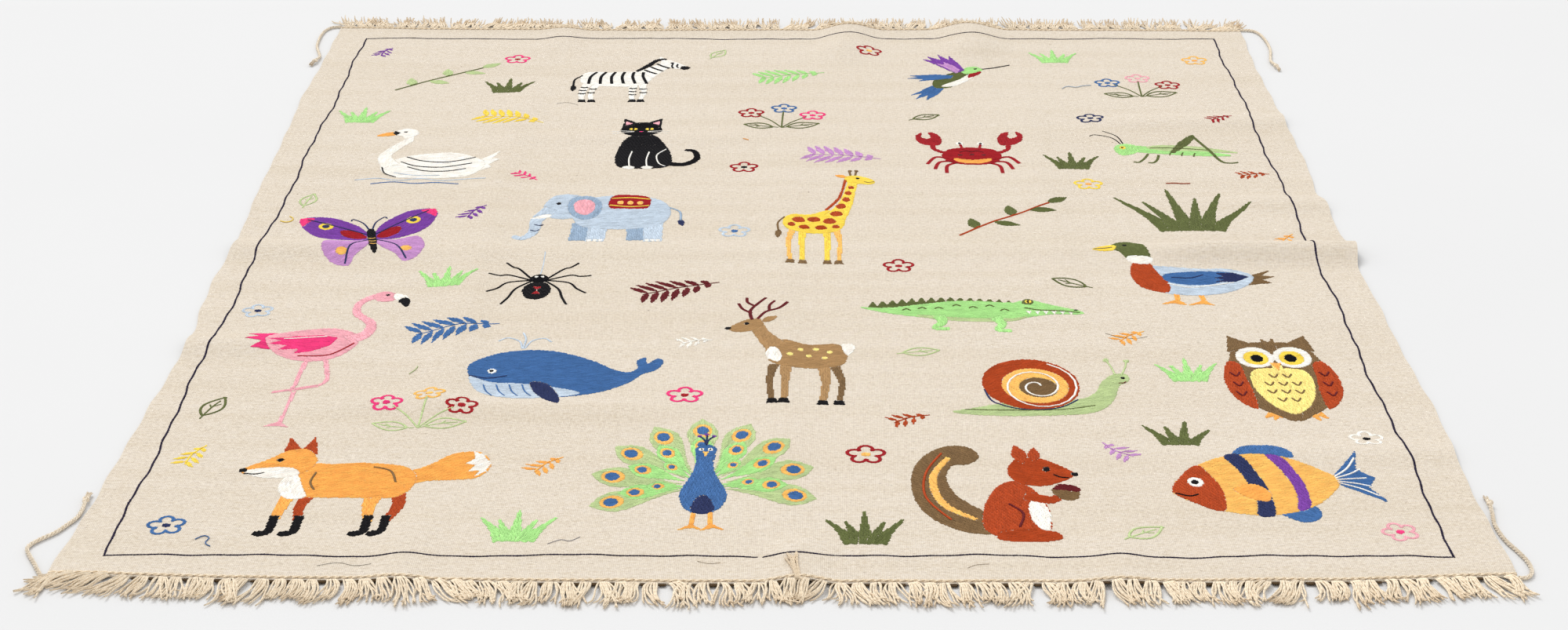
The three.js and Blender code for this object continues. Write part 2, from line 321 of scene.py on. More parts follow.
def blend_colour(tree, factor, a, b):
    """Mixes two colours by a linked factor. Each colour is a value or an output."""
    node = add_node(tree, "Mix", {"data_type": "RGBA"}, {0: factor})
    for index, colour in ((6, a), (7, b)):
        if isinstance(colour, bpy.types.NodeSocket):
            tree.links.new(colour, node.inputs[index])
        else:
            node.inputs[index].default_value = (*colour, 1)
    return node.outputs[2]


def woven_wool(colours, sizes):
    """Undyed handspun wool, woven flat on a loom: firm ribs over the warp, fine rows of weft, streaks
    where the weft's fleece changes, and hairs and specks left in the fleece."""
    material, tree, shader, _ = new_material("handspun_wool_flatweave")
    weave = add_node(tree, "UVMap", {"uv_map": "weave"}).outputs["UV"]
    rib = add_node(tree, "TexWave", {
        "wave_type": "BANDS", "bands_direction": "X", "Scale": wave_scale(sizes.rib_pitch),
        "Distortion": 0.5, "Detail": 1.0, "Detail Scale": 0.12,
    }, {"Vector": weave})
    weft = add_node(tree, "TexWave", {
        "wave_type": "BANDS", "bands_direction": "Y", "Scale": wave_scale(sizes.weft_pitch),
        "Distortion": 1.6, "Detail": 1.0, "Detail Scale": 0.2,
    }, {"Vector": weave})
    # A weft row is drawn long and low: one noise cell is 20 mm across and 4 mm along the warp.
    rows = add_node(tree, "Mapping", {"Scale": (50, 250, 1)}, {"Vector": weave})
    row_noise = add_node(tree, "TexNoise", {"Scale": 1.0, "Detail": 4.0, "Roughness": 0.65},
                         {"Vector": rows.outputs[0]})
    # Broad bands of weft spun from another fleece, about 60 mm of cloth each
    bands = add_node(tree, "Mapping", {"Scale": (0.8, 16, 1)}, {"Vector": weave})
    band_noise = add_node(tree, "TexNoise", {"Scale": 1.0, "Detail": 3.0, "Roughness": 0.6},
                          {"Vector": bands.outputs[0]})
    band_share = add_node(tree, "MapRange", {"From Min": 0.42, "From Max": 0.66, "To Max": 0.34},
                          {"Value": band_noise.outputs["Fac"]})
    row_share = add_node(tree, "MapRange", {"From Min": 0.36, "From Max": 0.72, "To Max": 0.75},
                         {"Value": row_noise.outputs["Fac"]})
    cloth = blend_colour(tree, row_share.outputs[0], colours.cloth, colours.streak)
    cloth = blend_colour(tree, band_share.outputs[0], cloth, colours.streak)
    # Fleece mottle, 5 mm across
    mottle = add_node(tree, "TexNoise", {"Scale": 190.0, "Detail": 3.0, "Roughness": 0.7}, {"Vector": weave})
    mottle_share = add_node(tree, "MapRange", {"From Min": 0.36, "From Max": 0.66, "To Max": 0.5},
                            {"Value": mottle.outputs["Fac"]})
    cloth = blend_colour(tree, mottle_share.outputs[0], cloth, linear("#f4ead8"))
    # Dark hairs, about 8 mm long and 1 mm wide, lying with the weft
    hairs = add_node(tree, "Mapping", {"Scale": (120, 700, 1)}, {"Vector": weave})
    hair_noise = add_node(tree, "TexNoise", {"Scale": 1.0, "Detail": 2.0, "Roughness": 0.5},
                          {"Vector": hairs.outputs[0]})
    hair_share = add_node(tree, "MapRange", {"From Min": 0.63, "From Max": 0.74, "To Max": 0.8},
                          {"Value": hair_noise.outputs["Fac"]})
    cloth = blend_colour(tree, hair_share.outputs[0], cloth, colours.fleck)
    # Specks of bark and seed, 3 mm across and a hand apart
    speck = add_node(tree, "TexVoronoi", {"Scale": 11.0}, {"Vector": weave})
    speck_share = add_node(tree, "MapRange", {"From Min": 0.027, "From Max": 0.013, "To Max": 0.85},
                           {"Value": speck.outputs["Distance"]})
    cloth = blend_colour(tree, speck_share.outputs[0], cloth, linear("#6e5236"))
    # Painted shade: the furrows between the ribs are painted darker.
    furrow_shade = add_node(tree, "MapRange", {"From Min": 0.0, "From Max": 0.5, "To Min": 0.22, "To Max": 0.0},
                      {"Value": rib.outputs["Fac"]})
    cloth = blend_colour(tree, furrow_shade.outputs[0], cloth, linear("#b5a284"))
    relief = add_node(tree, "Math", {"operation": "MULTIPLY_ADD", 1: 0.5},
                      {0: weft.outputs["Fac"], 2: rib.outputs["Fac"]})
    relief = add_node(tree, "Math", {"operation": "ADD"}, {0: relief.outputs[0], 1: row_noise.outputs["Fac"]})
    bump = add_node(tree, "Bump", {"Strength": 0.7, "Distance": 0.0007}, {"Height": relief.outputs[0]})
    tree.links.new(cloth, shader.inputs["Base Color"])
    tree.links.new(bump.outputs[0], shader.inputs["Normal"])
    shader.inputs["Roughness"].default_value = 0.95
    shader.inputs["IOR"].default_value = 1.45
    shader.inputs["Specular IOR Level"].default_value = 0.2
    shader.inputs["Sheen Weight"].default_value = 0.15
    shader.inputs["Sheen Roughness"].default_value = 0.6
    return material


def plied_yarn(name, base, tip, ply_pitch):
    """Undyed wool spun hard and plied: a slanting line of painted shade where the plies meet, and a soft
    fibre nap with painted highlights.
    The yarn's tone attribute runs from its clean body to its soiled tip."""
    material, tree, shader, coordinates = new_material(name)
    tone = add_node(tree, "Attribute", {"attribute_name": "tone"})
    shade = add_node(tree, "Attribute", {"attribute_name": "shade"})
    yarn = add_node(tree, "UVMap", {"uv_map": "yarn"})
    split = add_node(tree, "SeparateXYZ", {}, {0: yarn.outputs["UV"]})
    # Two plies: the line goes round twice for each turn of the yarn.
    along = add_node(tree, "Math", {"operation": "MULTIPLY", 1: 2 * math.pi / ply_pitch},
                     {0: split.outputs["Y"]})
    round_ = add_node(tree, "Math", {"operation": "MULTIPLY_ADD", 1: 4 * math.pi},
                      {0: split.outputs["X"], 2: along.outputs[0]})
    ply = add_node(tree, "Math", {"operation": "SINE"}, {0: round_.outputs[0]})
    fibre = add_node(tree, "TexNoise", {"Scale": 900.0, "Detail": 2.0, "Roughness": 0.6},
                     {"Vector": coordinates.outputs["Object"]})
    wool = blend_colour(tree, tone.outputs["Fac"], base, tip)
    # Painted shade in the groove where the plies meet
    ply_groove_shade = add_node(tree, "MapRange", {"From Min": -0.2, "From Max": -1.0, "To Max": 0.18},
                         {"Value": ply.outputs[0]})
    wool = blend_colour(tree, ply_groove_shade.outputs[0], wool, linear("#a98c64"))
    wool = blend_colour(tree, shade.outputs["Fac"], wool, linear("#bc9c6c"))
    # Painted highlights: pale flecks on the fibre nap
    fibre_highlight = add_node(tree, "MapRange", {"From Min": 0.4, "From Max": 0.7, "To Max": 0.2},
                           {"Value": fibre.outputs["Fac"]})
    wool = blend_colour(tree, fibre_highlight.outputs[0], wool, linear("#f3e8d2"))
    relief = add_node(tree, "Math", {"operation": "MULTIPLY_ADD", 1: 0.5},
                      {0: ply.outputs[0], 2: fibre.outputs["Fac"]})
    bump = add_node(tree, "Bump", {"Strength": 0.8, "Distance": 0.0008}, {"Height": relief.outputs[0]})
    tree.links.new(wool, shader.inputs["Base Color"])
    tree.links.new(bump.outputs[0], shader.inputs["Normal"])
    shader.inputs["Roughness"].default_value = 0.9
    shader.inputs["Specular IOR Level"].default_value = 0.2
    shader.inputs["Sheen Weight"].default_value = 0.2
    return material


def embroidery_wool():
    """Soft two-ply embroidery wool in dyed colours, laid in flat stitches. Each stitch carries its dye,
    and the fibres give a low sheen and a fine nap."""
    material, tree, shader, coordinates = new_material("dyed_embroidery_wool")
    dye = add_node(tree, "Attribute", {"attribute_name": "dye"})
    nap = add_node(tree, "TexNoise", {"Scale": 1100.0, "Detail": 2.0, "Roughness": 0.6},
                   {"Vector": coordinates.outputs["Object"]})
    cloud = add_node(tree, "TexNoise", {"Scale": 60.0, "Detail": 2.0},
                     {"Vector": coordinates.outputs["Object"]})
    nap_share = add_node(tree, "MapRange", {
        "From Min": 0.35, "From Max": 0.7, "To Min": 0.86, "To Max": 1.1,
    }, {"Value": nap.outputs["Fac"]})
    cloud_share = add_node(tree, "MapRange", {
        "From Min": 0.3, "From Max": 0.7, "To Min": 0.95, "To Max": 1.05,
    }, {"Value": cloud.outputs["Fac"]})
    shade = add_node(tree, "Math", {"operation": "MULTIPLY"},
                     {0: nap_share.outputs[0], 1: cloud_share.outputs[0]})
    tint = add_node(tree, "VectorMath", {"operation": "SCALE"},
                    {0: dye.outputs["Color"], "Scale": shade.outputs[0]})
    bump = add_node(tree, "Bump", {"Strength": 0.5, "Distance": 0.0005}, {"Height": nap.outputs["Fac"]})
    tree.links.new(tint.outputs[0], shader.inputs["Base Color"])
    tree.links.new(bump.outputs[0], shader.inputs["Normal"])
    shader.inputs["Roughness"].default_value = 0.95
    shader.inputs["Specular IOR Level"].default_value = 0.06
    shader.inputs["Sheen Weight"].default_value = 0.02
    return material


def painted_floor(colour):
    """A pale floor with a matt coat of paint."""
    material, tree, shader, coordinates = new_material("matt_painted_floor")
    cloud = add_node(tree, "TexNoise", {"Scale": 1.3, "Detail": 3.0},
                     {"Vector": coordinates.outputs["Object"]})
    share = add_node(tree, "MapRange", {"From Min": 0.35, "From Max": 0.65, "To Max": 0.5},
                     {"Value": cloud.outputs["Fac"]})
    paint = blend_colour(tree, share.outputs[0], colour, [0.98 * c for c in colour])
    tree.links.new(paint, shader.inputs["Base Color"])
    shader.inputs["Roughness"].default_value = 0.8
    shader.inputs["Specular IOR Level"].default_value = 0.2
    return material


def material_named(name):
    """The embroidery wool, made once and shared by every stitched piece."""
    return bpy.data.materials.get(name) or embroidery_wool()


class Unit:
    """The mesh of one small shape, modelled once, whose copies are joined in one mesh."""

    def __init__(self, piece):
        mesh = piece.data
        self.points = np.empty(len(mesh.vertices) * 3)
        mesh.vertices.foreach_get("co", self.points)
        self.points = self.points.reshape(-1, 3)
        self.loops = np.empty(len(mesh.loops), dtype=np.int32)
        mesh.loops.foreach_get("vertex_index", self.loops)
        self.totals = np.array([len(face.vertices) for face in mesh.polygons])
        bpy.data.objects.remove(piece)


def select_points(piece, chosen):
    """Selects the points of a mesh that a test picks, and goes into edit mode."""
    bpy.ops.object.mode_set(mode="EDIT")
    bpy.ops.mesh.select_all(action="DESELECT")
    bpy.ops.object.mode_set(mode="OBJECT")
    for vertex in piece.data.vertices:
        vertex.select = chosen(vertex.co)
    bpy.ops.object.mode_set(mode="EDIT")


def stitch_unit():
    """One plump strand of wool, 1 long, 1 wide and 1 high, with its ends drawn to points."""
    body = 0.66
    bpy.ops.object.select_all(action="DESELECT")
    bpy.ops.mesh.primitive_cylinder_add(vertices=4, radius=0.5, depth=body, end_fill_type="TRIFAN",
                                        rotation=(0, math.pi / 2, 0))
    piece = bpy.context.object
    bpy.ops.object.transform_apply(rotation=True)
    select_points(piece, lambda co: math.hypot(co.y, co.z) < 0.1)
    bpy.ops.transform.resize(value=(1 / body, 1, 1))
    bpy.ops.object.mode_set(mode="OBJECT")
    return Unit(piece)


def strand_unit(sides, steps):
    """A round strand of radius 1, 1 long along Z, with steps along it and closed ends."""
    bpy.ops.object.select_all(action="DESELECT")
    bpy.ops.mesh.primitive_circle_add(vertices=sides, radius=1, fill_type="NGON")
    piece = bpy.context.object
    bpy.ops.object.mode_set(mode="EDIT")
    for _ in range(steps):
        bpy.ops.mesh.extrude_region_move(TRANSFORM_OT_translate={"value": (0, 0, 1 / steps)})
    bpy.ops.mesh.select_all(action="SELECT")
    bpy.ops.mesh.normals_make_consistent(inside=False)
    bpy.ops.object.mode_set(mode="OBJECT")
    return Unit(piece)


def joined(name, unit, points, material, numbers=(), dyes=None, uv=None):
    """One mesh of many copies of a unit, from each copy's points. numbers are attributes with one value
    for each point, dyes a colour for each point, and uv a place on the yarn for each point."""
    count, size = points.shape[:2]
    shift = size * np.arange(count)[:, None]
    loops = (unit.loops[None] + shift).ravel()
    totals = np.tile(unit.totals, count)
    mesh = bpy.data.meshes.new(name)
    mesh.vertices.add(count * size)
    mesh.vertices.foreach_set("co", points.ravel())
    mesh.loops.add(len(loops))
    mesh.loops.foreach_set("vertex_index", loops.astype(np.int32))
    mesh.polygons.add(len(totals))
    mesh.polygons.foreach_set("loop_start", np.concatenate([[0], np.cumsum(totals)[:-1]]).astype(np.int32))
    mesh.polygons.foreach_set("use_smooth", np.ones(len(totals), dtype=bool))
    mesh.update(calc_edges=True)
    for key, values in dict(numbers).items():
        attribute = mesh.attributes.new(key, "FLOAT", "POINT")
        attribute.data.foreach_set("value", np.broadcast_to(values, (count, size)).ravel())
    if dyes is not None:
        colours = np.ones((count, size, 4))
        colours[..., :3] = dyes[:, None]
        mesh.color_attributes.new("dye", "FLOAT_COLOR", "POINT").data.foreach_set("color", colours.ravel())
    if uv is not None:
        layer = mesh.uv_layers.new(name="yarn")
        layer.data.foreach_set("uv", uv.reshape(-1, 2)[loops].ravel())
    mesh.materials.append(material)
    if mesh.validate():
        raise RuntimeError(f"{name}: its mesh had to be repaired")
    piece = bpy.data.objects.new(name, mesh)
    bpy.context.collection.objects.link(piece)
    return piece


def strands(unit, steps, lines, radius):
    """Bends copies of a strand along lines, each of steps + 1 points, with a radius at each point.
    Returns the points of each copy and their places round and along the yarn."""
    ring = np.round(unit.points[:, 2] * steps).astype(int)
    ahead = np.gradient(lines, axis=1)
    ahead /= np.linalg.norm(ahead, axis=2, keepdims=True)
    side = np.cross(ahead, (0.0, 0.0, 1.0))
    flat = np.linalg.norm(side, axis=2, keepdims=True)
    side = np.where(flat > 1e-6, side / np.maximum(flat, 1e-6), (1.0, 0.0, 0.0))
    rise = np.cross(side, ahead)
    reach = np.broadcast_to(radius, lines.shape[:2])[:, ring, None]
    points = lines[:, ring] + reach * (unit.points[None, :, 0, None] * side[:, ring]
                                       + unit.points[None, :, 1, None] * rise[:, ring])
    step = np.linalg.norm(np.diff(lines, axis=1), axis=2)
    gone = np.concatenate([np.zeros((len(lines), 1)), np.cumsum(step, axis=1)], axis=1)
    turn = np.arctan2(unit.points[:, 0], -unit.points[:, 1]) / (2 * math.pi) + 0.5
    uv = np.stack([np.broadcast_to(turn, points.shape[:2]), gone[:, ring]], axis=2)
    return points, uv


def chunks(line, steps):
    """Cuts one long line of points into lines of steps + 1 points that share their ends."""
    count = max(1, math.ceil((len(line) - 1) / steps))
    spread = np.linspace(0, len(line) - 1, count * steps + 1)
    whole = np.stack([np.interp(spread, np.arange(len(line)), line[:, k]) for k in range(3)], axis=1)
    return np.stack([whole[i * steps : i * steps + steps + 1] for i in range(count)])


def smooth_line(points, steps):
    """A smooth line through points, as its points at even steps."""
    points = np.asarray(points, dtype=float)
    last = len(points) - 1
    t = np.linspace(0, 1, 12, endpoint=False)[:, None]
    spans = []
    for i in range(last):
        a, b, c, d = (points[min(max(i + k, 0), last)] for k in (-1, 0, 1, 2))
        spans.append(0.5 * (2 * b + (c - a) * t + (2 * a - 5 * b + 4 * c - d) * t**2
                            + (3 * b - a - 3 * c + d) * t**3))
    line = np.concatenate([*spans, points[-1:]])
    gone = np.concatenate([[0], np.cumsum(np.linalg.norm(np.diff(line, axis=0), axis=1))])
    even = np.linspace(0, gone[-1], steps + 1)
    return np.stack([np.interp(even, gone, line[:, k]) for k in range(points.shape[1])], axis=1)


def twisted(line, plies, offset, pitch):
    """The lines of the plies that wind round a line, one turn in each pitch."""
    ahead = np.gradient(line, axis=0)
    ahead /= np.linalg.norm(ahead, axis=1, keepdims=True)
    side = np.cross(ahead, (0.0, 0.0, 1.0))
    side /= np.linalg.norm(side, axis=1, keepdims=True)
    rise = np.cross(side, ahead)
    gone = np.concatenate([[0], np.cumsum(np.linalg.norm(np.diff(line, axis=0), axis=1))])
    out = []
    for ply in range(plies):
        angle = (gone / pitch + ply / plies) * 2 * math.pi
        out.append(line + offset * (np.cos(angle)[:, None] * side + np.sin(angle)[:, None] * rise))
    return out


def finish_piece(piece):
    """Every piece of the rug rides on its one body."""
    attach(piece, "root")
    return piece


def pairs(numbers):
    return np.array(numbers, dtype=float).reshape(-1, 2)


def through(points, closed, steps=6):
    """A smooth line through points."""
    count = len(points)
    spans = count if closed else count - 1
    t = np.linspace(0, 1, steps, endpoint=False)[:, None]
    out = []
    for i in range(spans):
        if closed:
            a, b, c, d = (points[(i + k) % count] for k in (-1, 0, 1, 2))
        else:
            a, b, c, d = (points[min(max(i + k, 0), count - 1)] for k in (-1, 0, 1, 2))
        out.append(0.5 * (2 * b + (c - a) * t + (2 * a - 5 * b + 4 * c - d) * t**2
                          + (3 * b - a - 3 * c + d) * t**3))
    if not closed:
        out.append(points[-1:])
    return np.concatenate(out)


def soft(*numbers):
    return through(pairs(numbers), True)


def sharp(*numbers):
    return pairs(numbers)


def curve(*numbers):
    return through(pairs(numbers), False)


def oval(x, y, across, up, turn=0.0):
    angle = np.linspace(0, 2 * math.pi, 24, endpoint=False)
    p = np.stack([np.cos(angle) * across, np.sin(angle) * up], axis=1)
    return turned(p, turn) + (x, y)


def turned(points, degrees):
    angle = math.radians(degrees)
    c, s = math.cos(angle), math.sin(angle)
    return points @ np.array([[c, s], [-s, c]])


def leaf(x0, y0, x1, y1, wide, belly=0.45):
    """A blade from one point to another, widest at belly of its length."""
    start, end = np.array([x0, y0], float), np.array([x1, y1], float)
    ahead = end - start
    side = np.array([-ahead[1], ahead[0]]) / np.hypot(*ahead)
    share = np.linspace(0, 1, 10)
    half = wide / 2 * np.sin(math.pi * share ** (math.log(0.5) / math.log(belly)))
    left = start + ahead * share[:, None] + side * half[:, None]
    right = start + ahead * share[:, None] - side * half[:, None]
    return np.concatenate([left, right[::-1][1:-1]])


def limb(widths, *numbers):
    """A stroke along a smooth line, whose width goes through widths."""
    line = curve(*numbers)
    ahead = np.gradient(line, axis=0)
    side = np.stack([-ahead[:, 1], ahead[:, 0]], axis=1) / np.maximum(np.hypot(*ahead.T), 1e-9)[:, None]
    half = np.interp(np.linspace(0, 1, len(line)), np.linspace(0, 1, len(widths)), widths)[:, None] / 2
    return np.concatenate([line + side * half, (line - side * half)[::-1]])


def spiral(x, y, start, end, turns, at=0.0):
    angle = np.linspace(0, turns * 2 * math.pi, int(turns * 20))
    radius = np.linspace(start, end, len(angle))
    return np.stack([x + radius * np.cos(angle + at), y + radius * np.sin(angle + at)], axis=1)


def fill(colour, shape, grain=None):
    return ("fill", colour, shape, grain)


def line(colour, shape, wide=2.6):
    return ("line", colour, shape, wide)


def dots(colour, across, up, *numbers):
    """Ovals of one size, each at its own place."""
    return [fill(colour, oval(x, y, across, up)) for x, y in pairs(numbers)]


def strokes(colour, wide, *routes):
    """Lines of one wool and one width, each through its own points."""
    return [line(colour, curve(*route), wide) for route in routes]


def hoofed_legs(hoof, knee, foot, *legs):
    """Legs that end in hooves: each leg's wool, its width at the hip, and where across its hip, its
    knee and its foot are."""
    parts = []
    for colour, wide, hip, bend, end in legs:
        parts.append(fill(colour, limb([wide, wide * 0.6, wide * 0.5], hip, -28, bend, knee, end, foot), 90))
        parts.append(fill(hoof, sharp(end - 8, foot + 8, end + 8, foot + 8, end + 10, foot - 7,
                                      end - 11, foot - 7)))
    return parts


def mirrored(parts):
    """Parts and their mirror images left to right."""
    flip = np.array([-1.0, 1.0])
    out = []
    for kind, colour, shape, last in parts:
        other = 180 - last if kind == "fill" and last is not None else last
        out += [(kind, colour, shape, last), (kind, colour, shape * flip, other)]
    return out


# The animals, each as its patches and lines in millimetres, in the order they are stitched
def duck():
    return [
        fill("orange", limb([12, 10], -10, -55, -14, -100)),
        fill("orange", sharp(-14, -90, 26, -112, -6, -106, -34, -112, -22, -100)),
        fill("orange", limb([12, 10], 40, -55, 44, -98)),
        fill("orange", sharp(44, -88, 86, -108, 54, -104, 24, -110, 36, -96)),
        fill("brown", sharp(-120, 5, -185, 38, -160, 12, -188, 8, -158, -6, -176, -20, -120, -28), 20),
        fill("light_blue", soft(-140, 12, -120, -30, -60, -62, 20, -70, 90, -50, 120, 0, 110, 50, 50, 50,
            -30, 42, -90, 40), 15),
        fill("rust", soft(60, -60, 110, -38, 128, 10, 118, 62, 84, 66, 66, 20, 50, -20), 60),
        fill("dark_green", soft(78, 70, 82, 110, 90, 140, 118, 158, 148, 148, 156, 122, 140, 100, 124, 76),
            70),
        fill("white", soft(74, 62, 78, 78, 124, 84, 126, 68, 100, 58), 0),
        fill("yellow", soft(148, 138, 176, 134, 200, 122, 178, 112, 150, 114), 0),
        fill("black", oval(126, 134, 5, 6)),
        fill("blue", soft(-100, 20, -60, -18, 0, -28, 50, -14, 58, 14, 20, 26, -40, 30), 12),
        fill("navy", sharp(-132, 6, -98, 24, -60, 22, -74, 8, -52, 2, -74, -6, -50, -14, -96, -16), 12),
        line("white", curve(-92, -18, -40, -30, 10, -38, 52, -22)),
        line("navy", curve(-30, 14, 0, 2, 40, 4)),
        line("navy", curve(156, 124, 176, 122, 196, 122), 2),
    ]


def fox():
    return [
        fill("rust", limb([30, 20, 14], 88, 10, 100, -40, 88, -84)),
        fill("rust", limb([30, 18, 14], -52, 0, -62, -44, -58, -84)),
        fill("orange", limb([34, 22, 15], 58, 0, 52, -44, 58, -86)),
        fill("orange", limb([30, 20, 15], -84, 10, -92, -40, -98, -84)),
        *(fill("black", limb([16, 15, 12, 16, 8], x + 1, -70, x, -104, x - 2, -112, x - 14, -116, x - 24,
            -115)) for x in (-58, -99, 86, 56)),
        fill("orange", soft(96, 46, 130, 66, 168, 98, 214, 104, 238, 70, 222, 34, 182, 26, 140, 24, 104,
            14), 25),
        fill("white", sharp(204, 106, 222, 98, 238, 72, 232, 50, 214, 34, 220, 52, 202, 50, 212, 68, 194,
            72, 208, 86), 40),
        fill("orange", soft(-80, 70, -108, 24, -92, -16, -30, -22, 40, -22, 96, -18, 118, 24, 96, 62, 30,
            74, -30, 70), 8),
        fill("white", soft(-104, 40, -112, 6, -92, -24, -60, -20, -72, 10, -86, 40), 80),
        fill("rust", sharp(-126, 96, -124, 150, -96, 112)),
        fill("rust", sharp(-96, 108, -80, 152, -66, 98)),
        fill("orange", soft(-186, 54, -160, 38, -118, 34, -76, 48, -62, 82, -84, 112, -118, 110, -144, 86),
            15),
        fill("white", soft(-184, 50, -158, 36, -118, 32, -84, 42, -100, 60, -134, 62, -158, 58), 10),
        fill("black", oval(-183, 53, 7, 6)),
        fill("black", oval(-126, 82, 6, 5, 20)),
        line("black", curve(-178, 44, -160, 42, -146, 46), 2),
        *strokes("brown", 2.6, (40, 62, 70, 50, 84, 20), (-56, 46, -60, 20, -50, 0)),
    ]


def peacock():
    def eye_at(out, across, up, angle):
        return oval(out * math.cos(angle), out * math.sin(angle), across, up, math.degrees(angle))

    parts = []
    for reach, count, start, end in ((205, 9, 196, -10), (150, 7, 188, 0), (100, 5, 180, 8)):
        for angle in np.linspace(math.radians(start), math.radians(end), count):
            c, s = math.cos(angle), math.sin(angle)
            along = math.degrees(angle)
            parts += [
                fill("sage" if reach == 205 else "bright_green",
                     leaf(18 * c, 18 * s, reach * c, reach * s, 0.28 * reach, 0.74), along),
                fill("mustard", eye_at(0.8 * reach, 0.105 * reach, 0.085 * reach, angle), along),
                fill("blue", eye_at(0.81 * reach, 0.065 * reach, 0.055 * reach, angle), along),
            ]
    return parts + [
        fill("orange", limb([8, 7], -12, -60, -16, -112)),
        fill("orange", limb([8, 7], 14, -60, 18, -112)),
        fill("orange", sharp(-16, -104, 4, -122, -14, -116, -40, -122, -22, -110)),
        fill("orange", sharp(18, -104, 42, -122, 22, -116, -2, -124, 12, -110)),
        fill("blue", soft(-40, -20, -30, -62, 0, -78, 32, -62, 42, -20, 22, 30, 14, 66, 16, 96, -16, 98,
            -16, 66, -24, 30), 85),
        fill("navy", soft(-20, -66, 0, -80, 22, -66, 10, -30, -8, -30), 85),
        fill("blue", oval(0, 104, 20, 19), 0),
        *dots("white", 5, 4, -8, 108, 8, 108),
        *dots("black", 2.4, 2.6, -8, 108, 8, 108),
        fill("mustard", sharp(-6, 102, 6, 102, 0, 86), 90),
        *strokes("navy", 2.6, (0, 122, -4, 136, -12, 146), (0, 122, 0, 138, 0, 150),
            (0, 122, 4, 136, 12, 146)),
        *dots("purple", 4, 4, -13, 148, 0, 153, 13, 148),
    ]


def owl():
    half = [
        fill("orange", sharp(34, -118, 22, -144, 28, -128, 44, -142, 40, -126, 58, -134, 50, -114)),
        fill("brown", soft(-12, -126, 44, -116, 80, -70, 92, 0, 86, 60, 60, 110, 0, 120, -12, 118), 90),
        fill("brown", sharp(84, 84, 74, 142, 30, 112)),
        fill("pale_yellow", soft(-10, -112, 30, -100, 56, -40, 50, 20, 0, 30, -10, 29), 90),
        fill("rust", soft(92, 50, 108, -10, 98, -70, 66, -104, 62, -50, 66, 0, 70, 44), 100),
        fill("white", oval(36, 66, 37, 36), 0),
        fill("yellow", oval(34, 64, 24, 24), 0),
        fill("black", oval(32, 63, 12, 13), 0),
    ]
    parts = mirrored(half) + [fill("orange", sharp(-11, 48, 11, 48, 0, 20), 90)]
    for row, y in enumerate((4, -22, -48, -74)):
        half = (2, 3, 3, 2)[row]
        for i in range(half):
            x = (i - (half - 1) / 2) * 26
            parts.append(line("brown", curve(x - 8, y + 4, x, y - 6, x + 8, y + 4)))
    for x in (-84, 84):
        for y in (10, -22, -54):
            parts.append(line("maroon", curve(x - 9, y + 4, x, y - 8, x + 9, y + 4)))
    return parts


def flamingo():
    return [
        fill("pink", limb([9, 7, 8, 7], 20, -40, 24, -150, 20, -158, 22, -262)),
        fill("pink", sharp(22, -254, 52, -270, 26, -268, 4, -272)),
        fill("pink", limb([9, 8, 7], -14, -40, -34, -116, -20, -140)),
        fill("pink", limb([8, 6], -22, -138, 62, -160)),
        fill("hot_pink", sharp(96, 44, 158, 40, 128, 26, 156, 12, 120, 4, 138, -16, 84, -20), 0),
        fill("pink", soft(-66, 34, -58, -14, -22, -48, 34, -52, 90, -26, 116, 14, 96, 44, 40, 60, -20, 62),
            15),
        fill("hot_pink", sharp(-24, 30, 10, 40, 60, 34, 112, 14, 84, 12, 104, -4, 70, -2, 84, -18, 46, -12,
            50, -28, 16, -18, -14, 2), 10),
        fill("pink", limb([34, 24, 18, 16, 17, 20], -44, 20, -76, 44, -78, 84, -44, 120, -40, 160, -66, 186,
            -90, 186), 60),
        fill("pink", oval(-88, 186, 25, 20, 10), 0),
        fill("white", soft(-106, 198, -132, 188, -140, 168, -126, 166, -108, 178), 50),
        fill("black", soft(-130, 182, -142, 168, -138, 146, -126, 158, -118, 170), 60),
        fill("black", oval(-92, 192, 4, 4)),
        line("crimson", curve(-60, 10, -20, -32, 40, -36)),
        line("white", curve(0, 34, 40, 30, 80, 20)),
    ]


def snail():
    return [
        fill("sage", soft(-176, -66, -100, -78, 20, -78, 100, -66, 138, -30, 158, 20, 180, 40, 176, 62, 152,
            62, 126, 38, 104, -4, 60, -26, -60, -36, -140, -54), 10),
        *strokes("sage", 2.6, (166, 58, 178, 86, 182, 104), (154, 60, 150, 88, 144, 108)),
        *dots("sage", 6, 6, 183, 108, 143, 112),
        fill("rust", oval(-16, 28, 96, 88, -12), 30),
        fill("mustard", oval(-8, 22, 66, 60, -12), 120),
        fill("brown", oval(-2, 16, 38, 34, -12), 30),
        line("white", spiral(-4, 18, 8, 84, 2.1, 0.6), 3),
        line("navy", curve(-108, 10, -96, -30, -60, -54, -20, -60, 30, -54, 70, -26)),
        fill("black", oval(168, 48, 4, 4)),
        line("dark_green", curve(-150, -58, -60, -62, 30, -60, 100, -46), 2),
        line("maroon", curve(158, 30, 166, 30, 172, 34), 2),
    ]


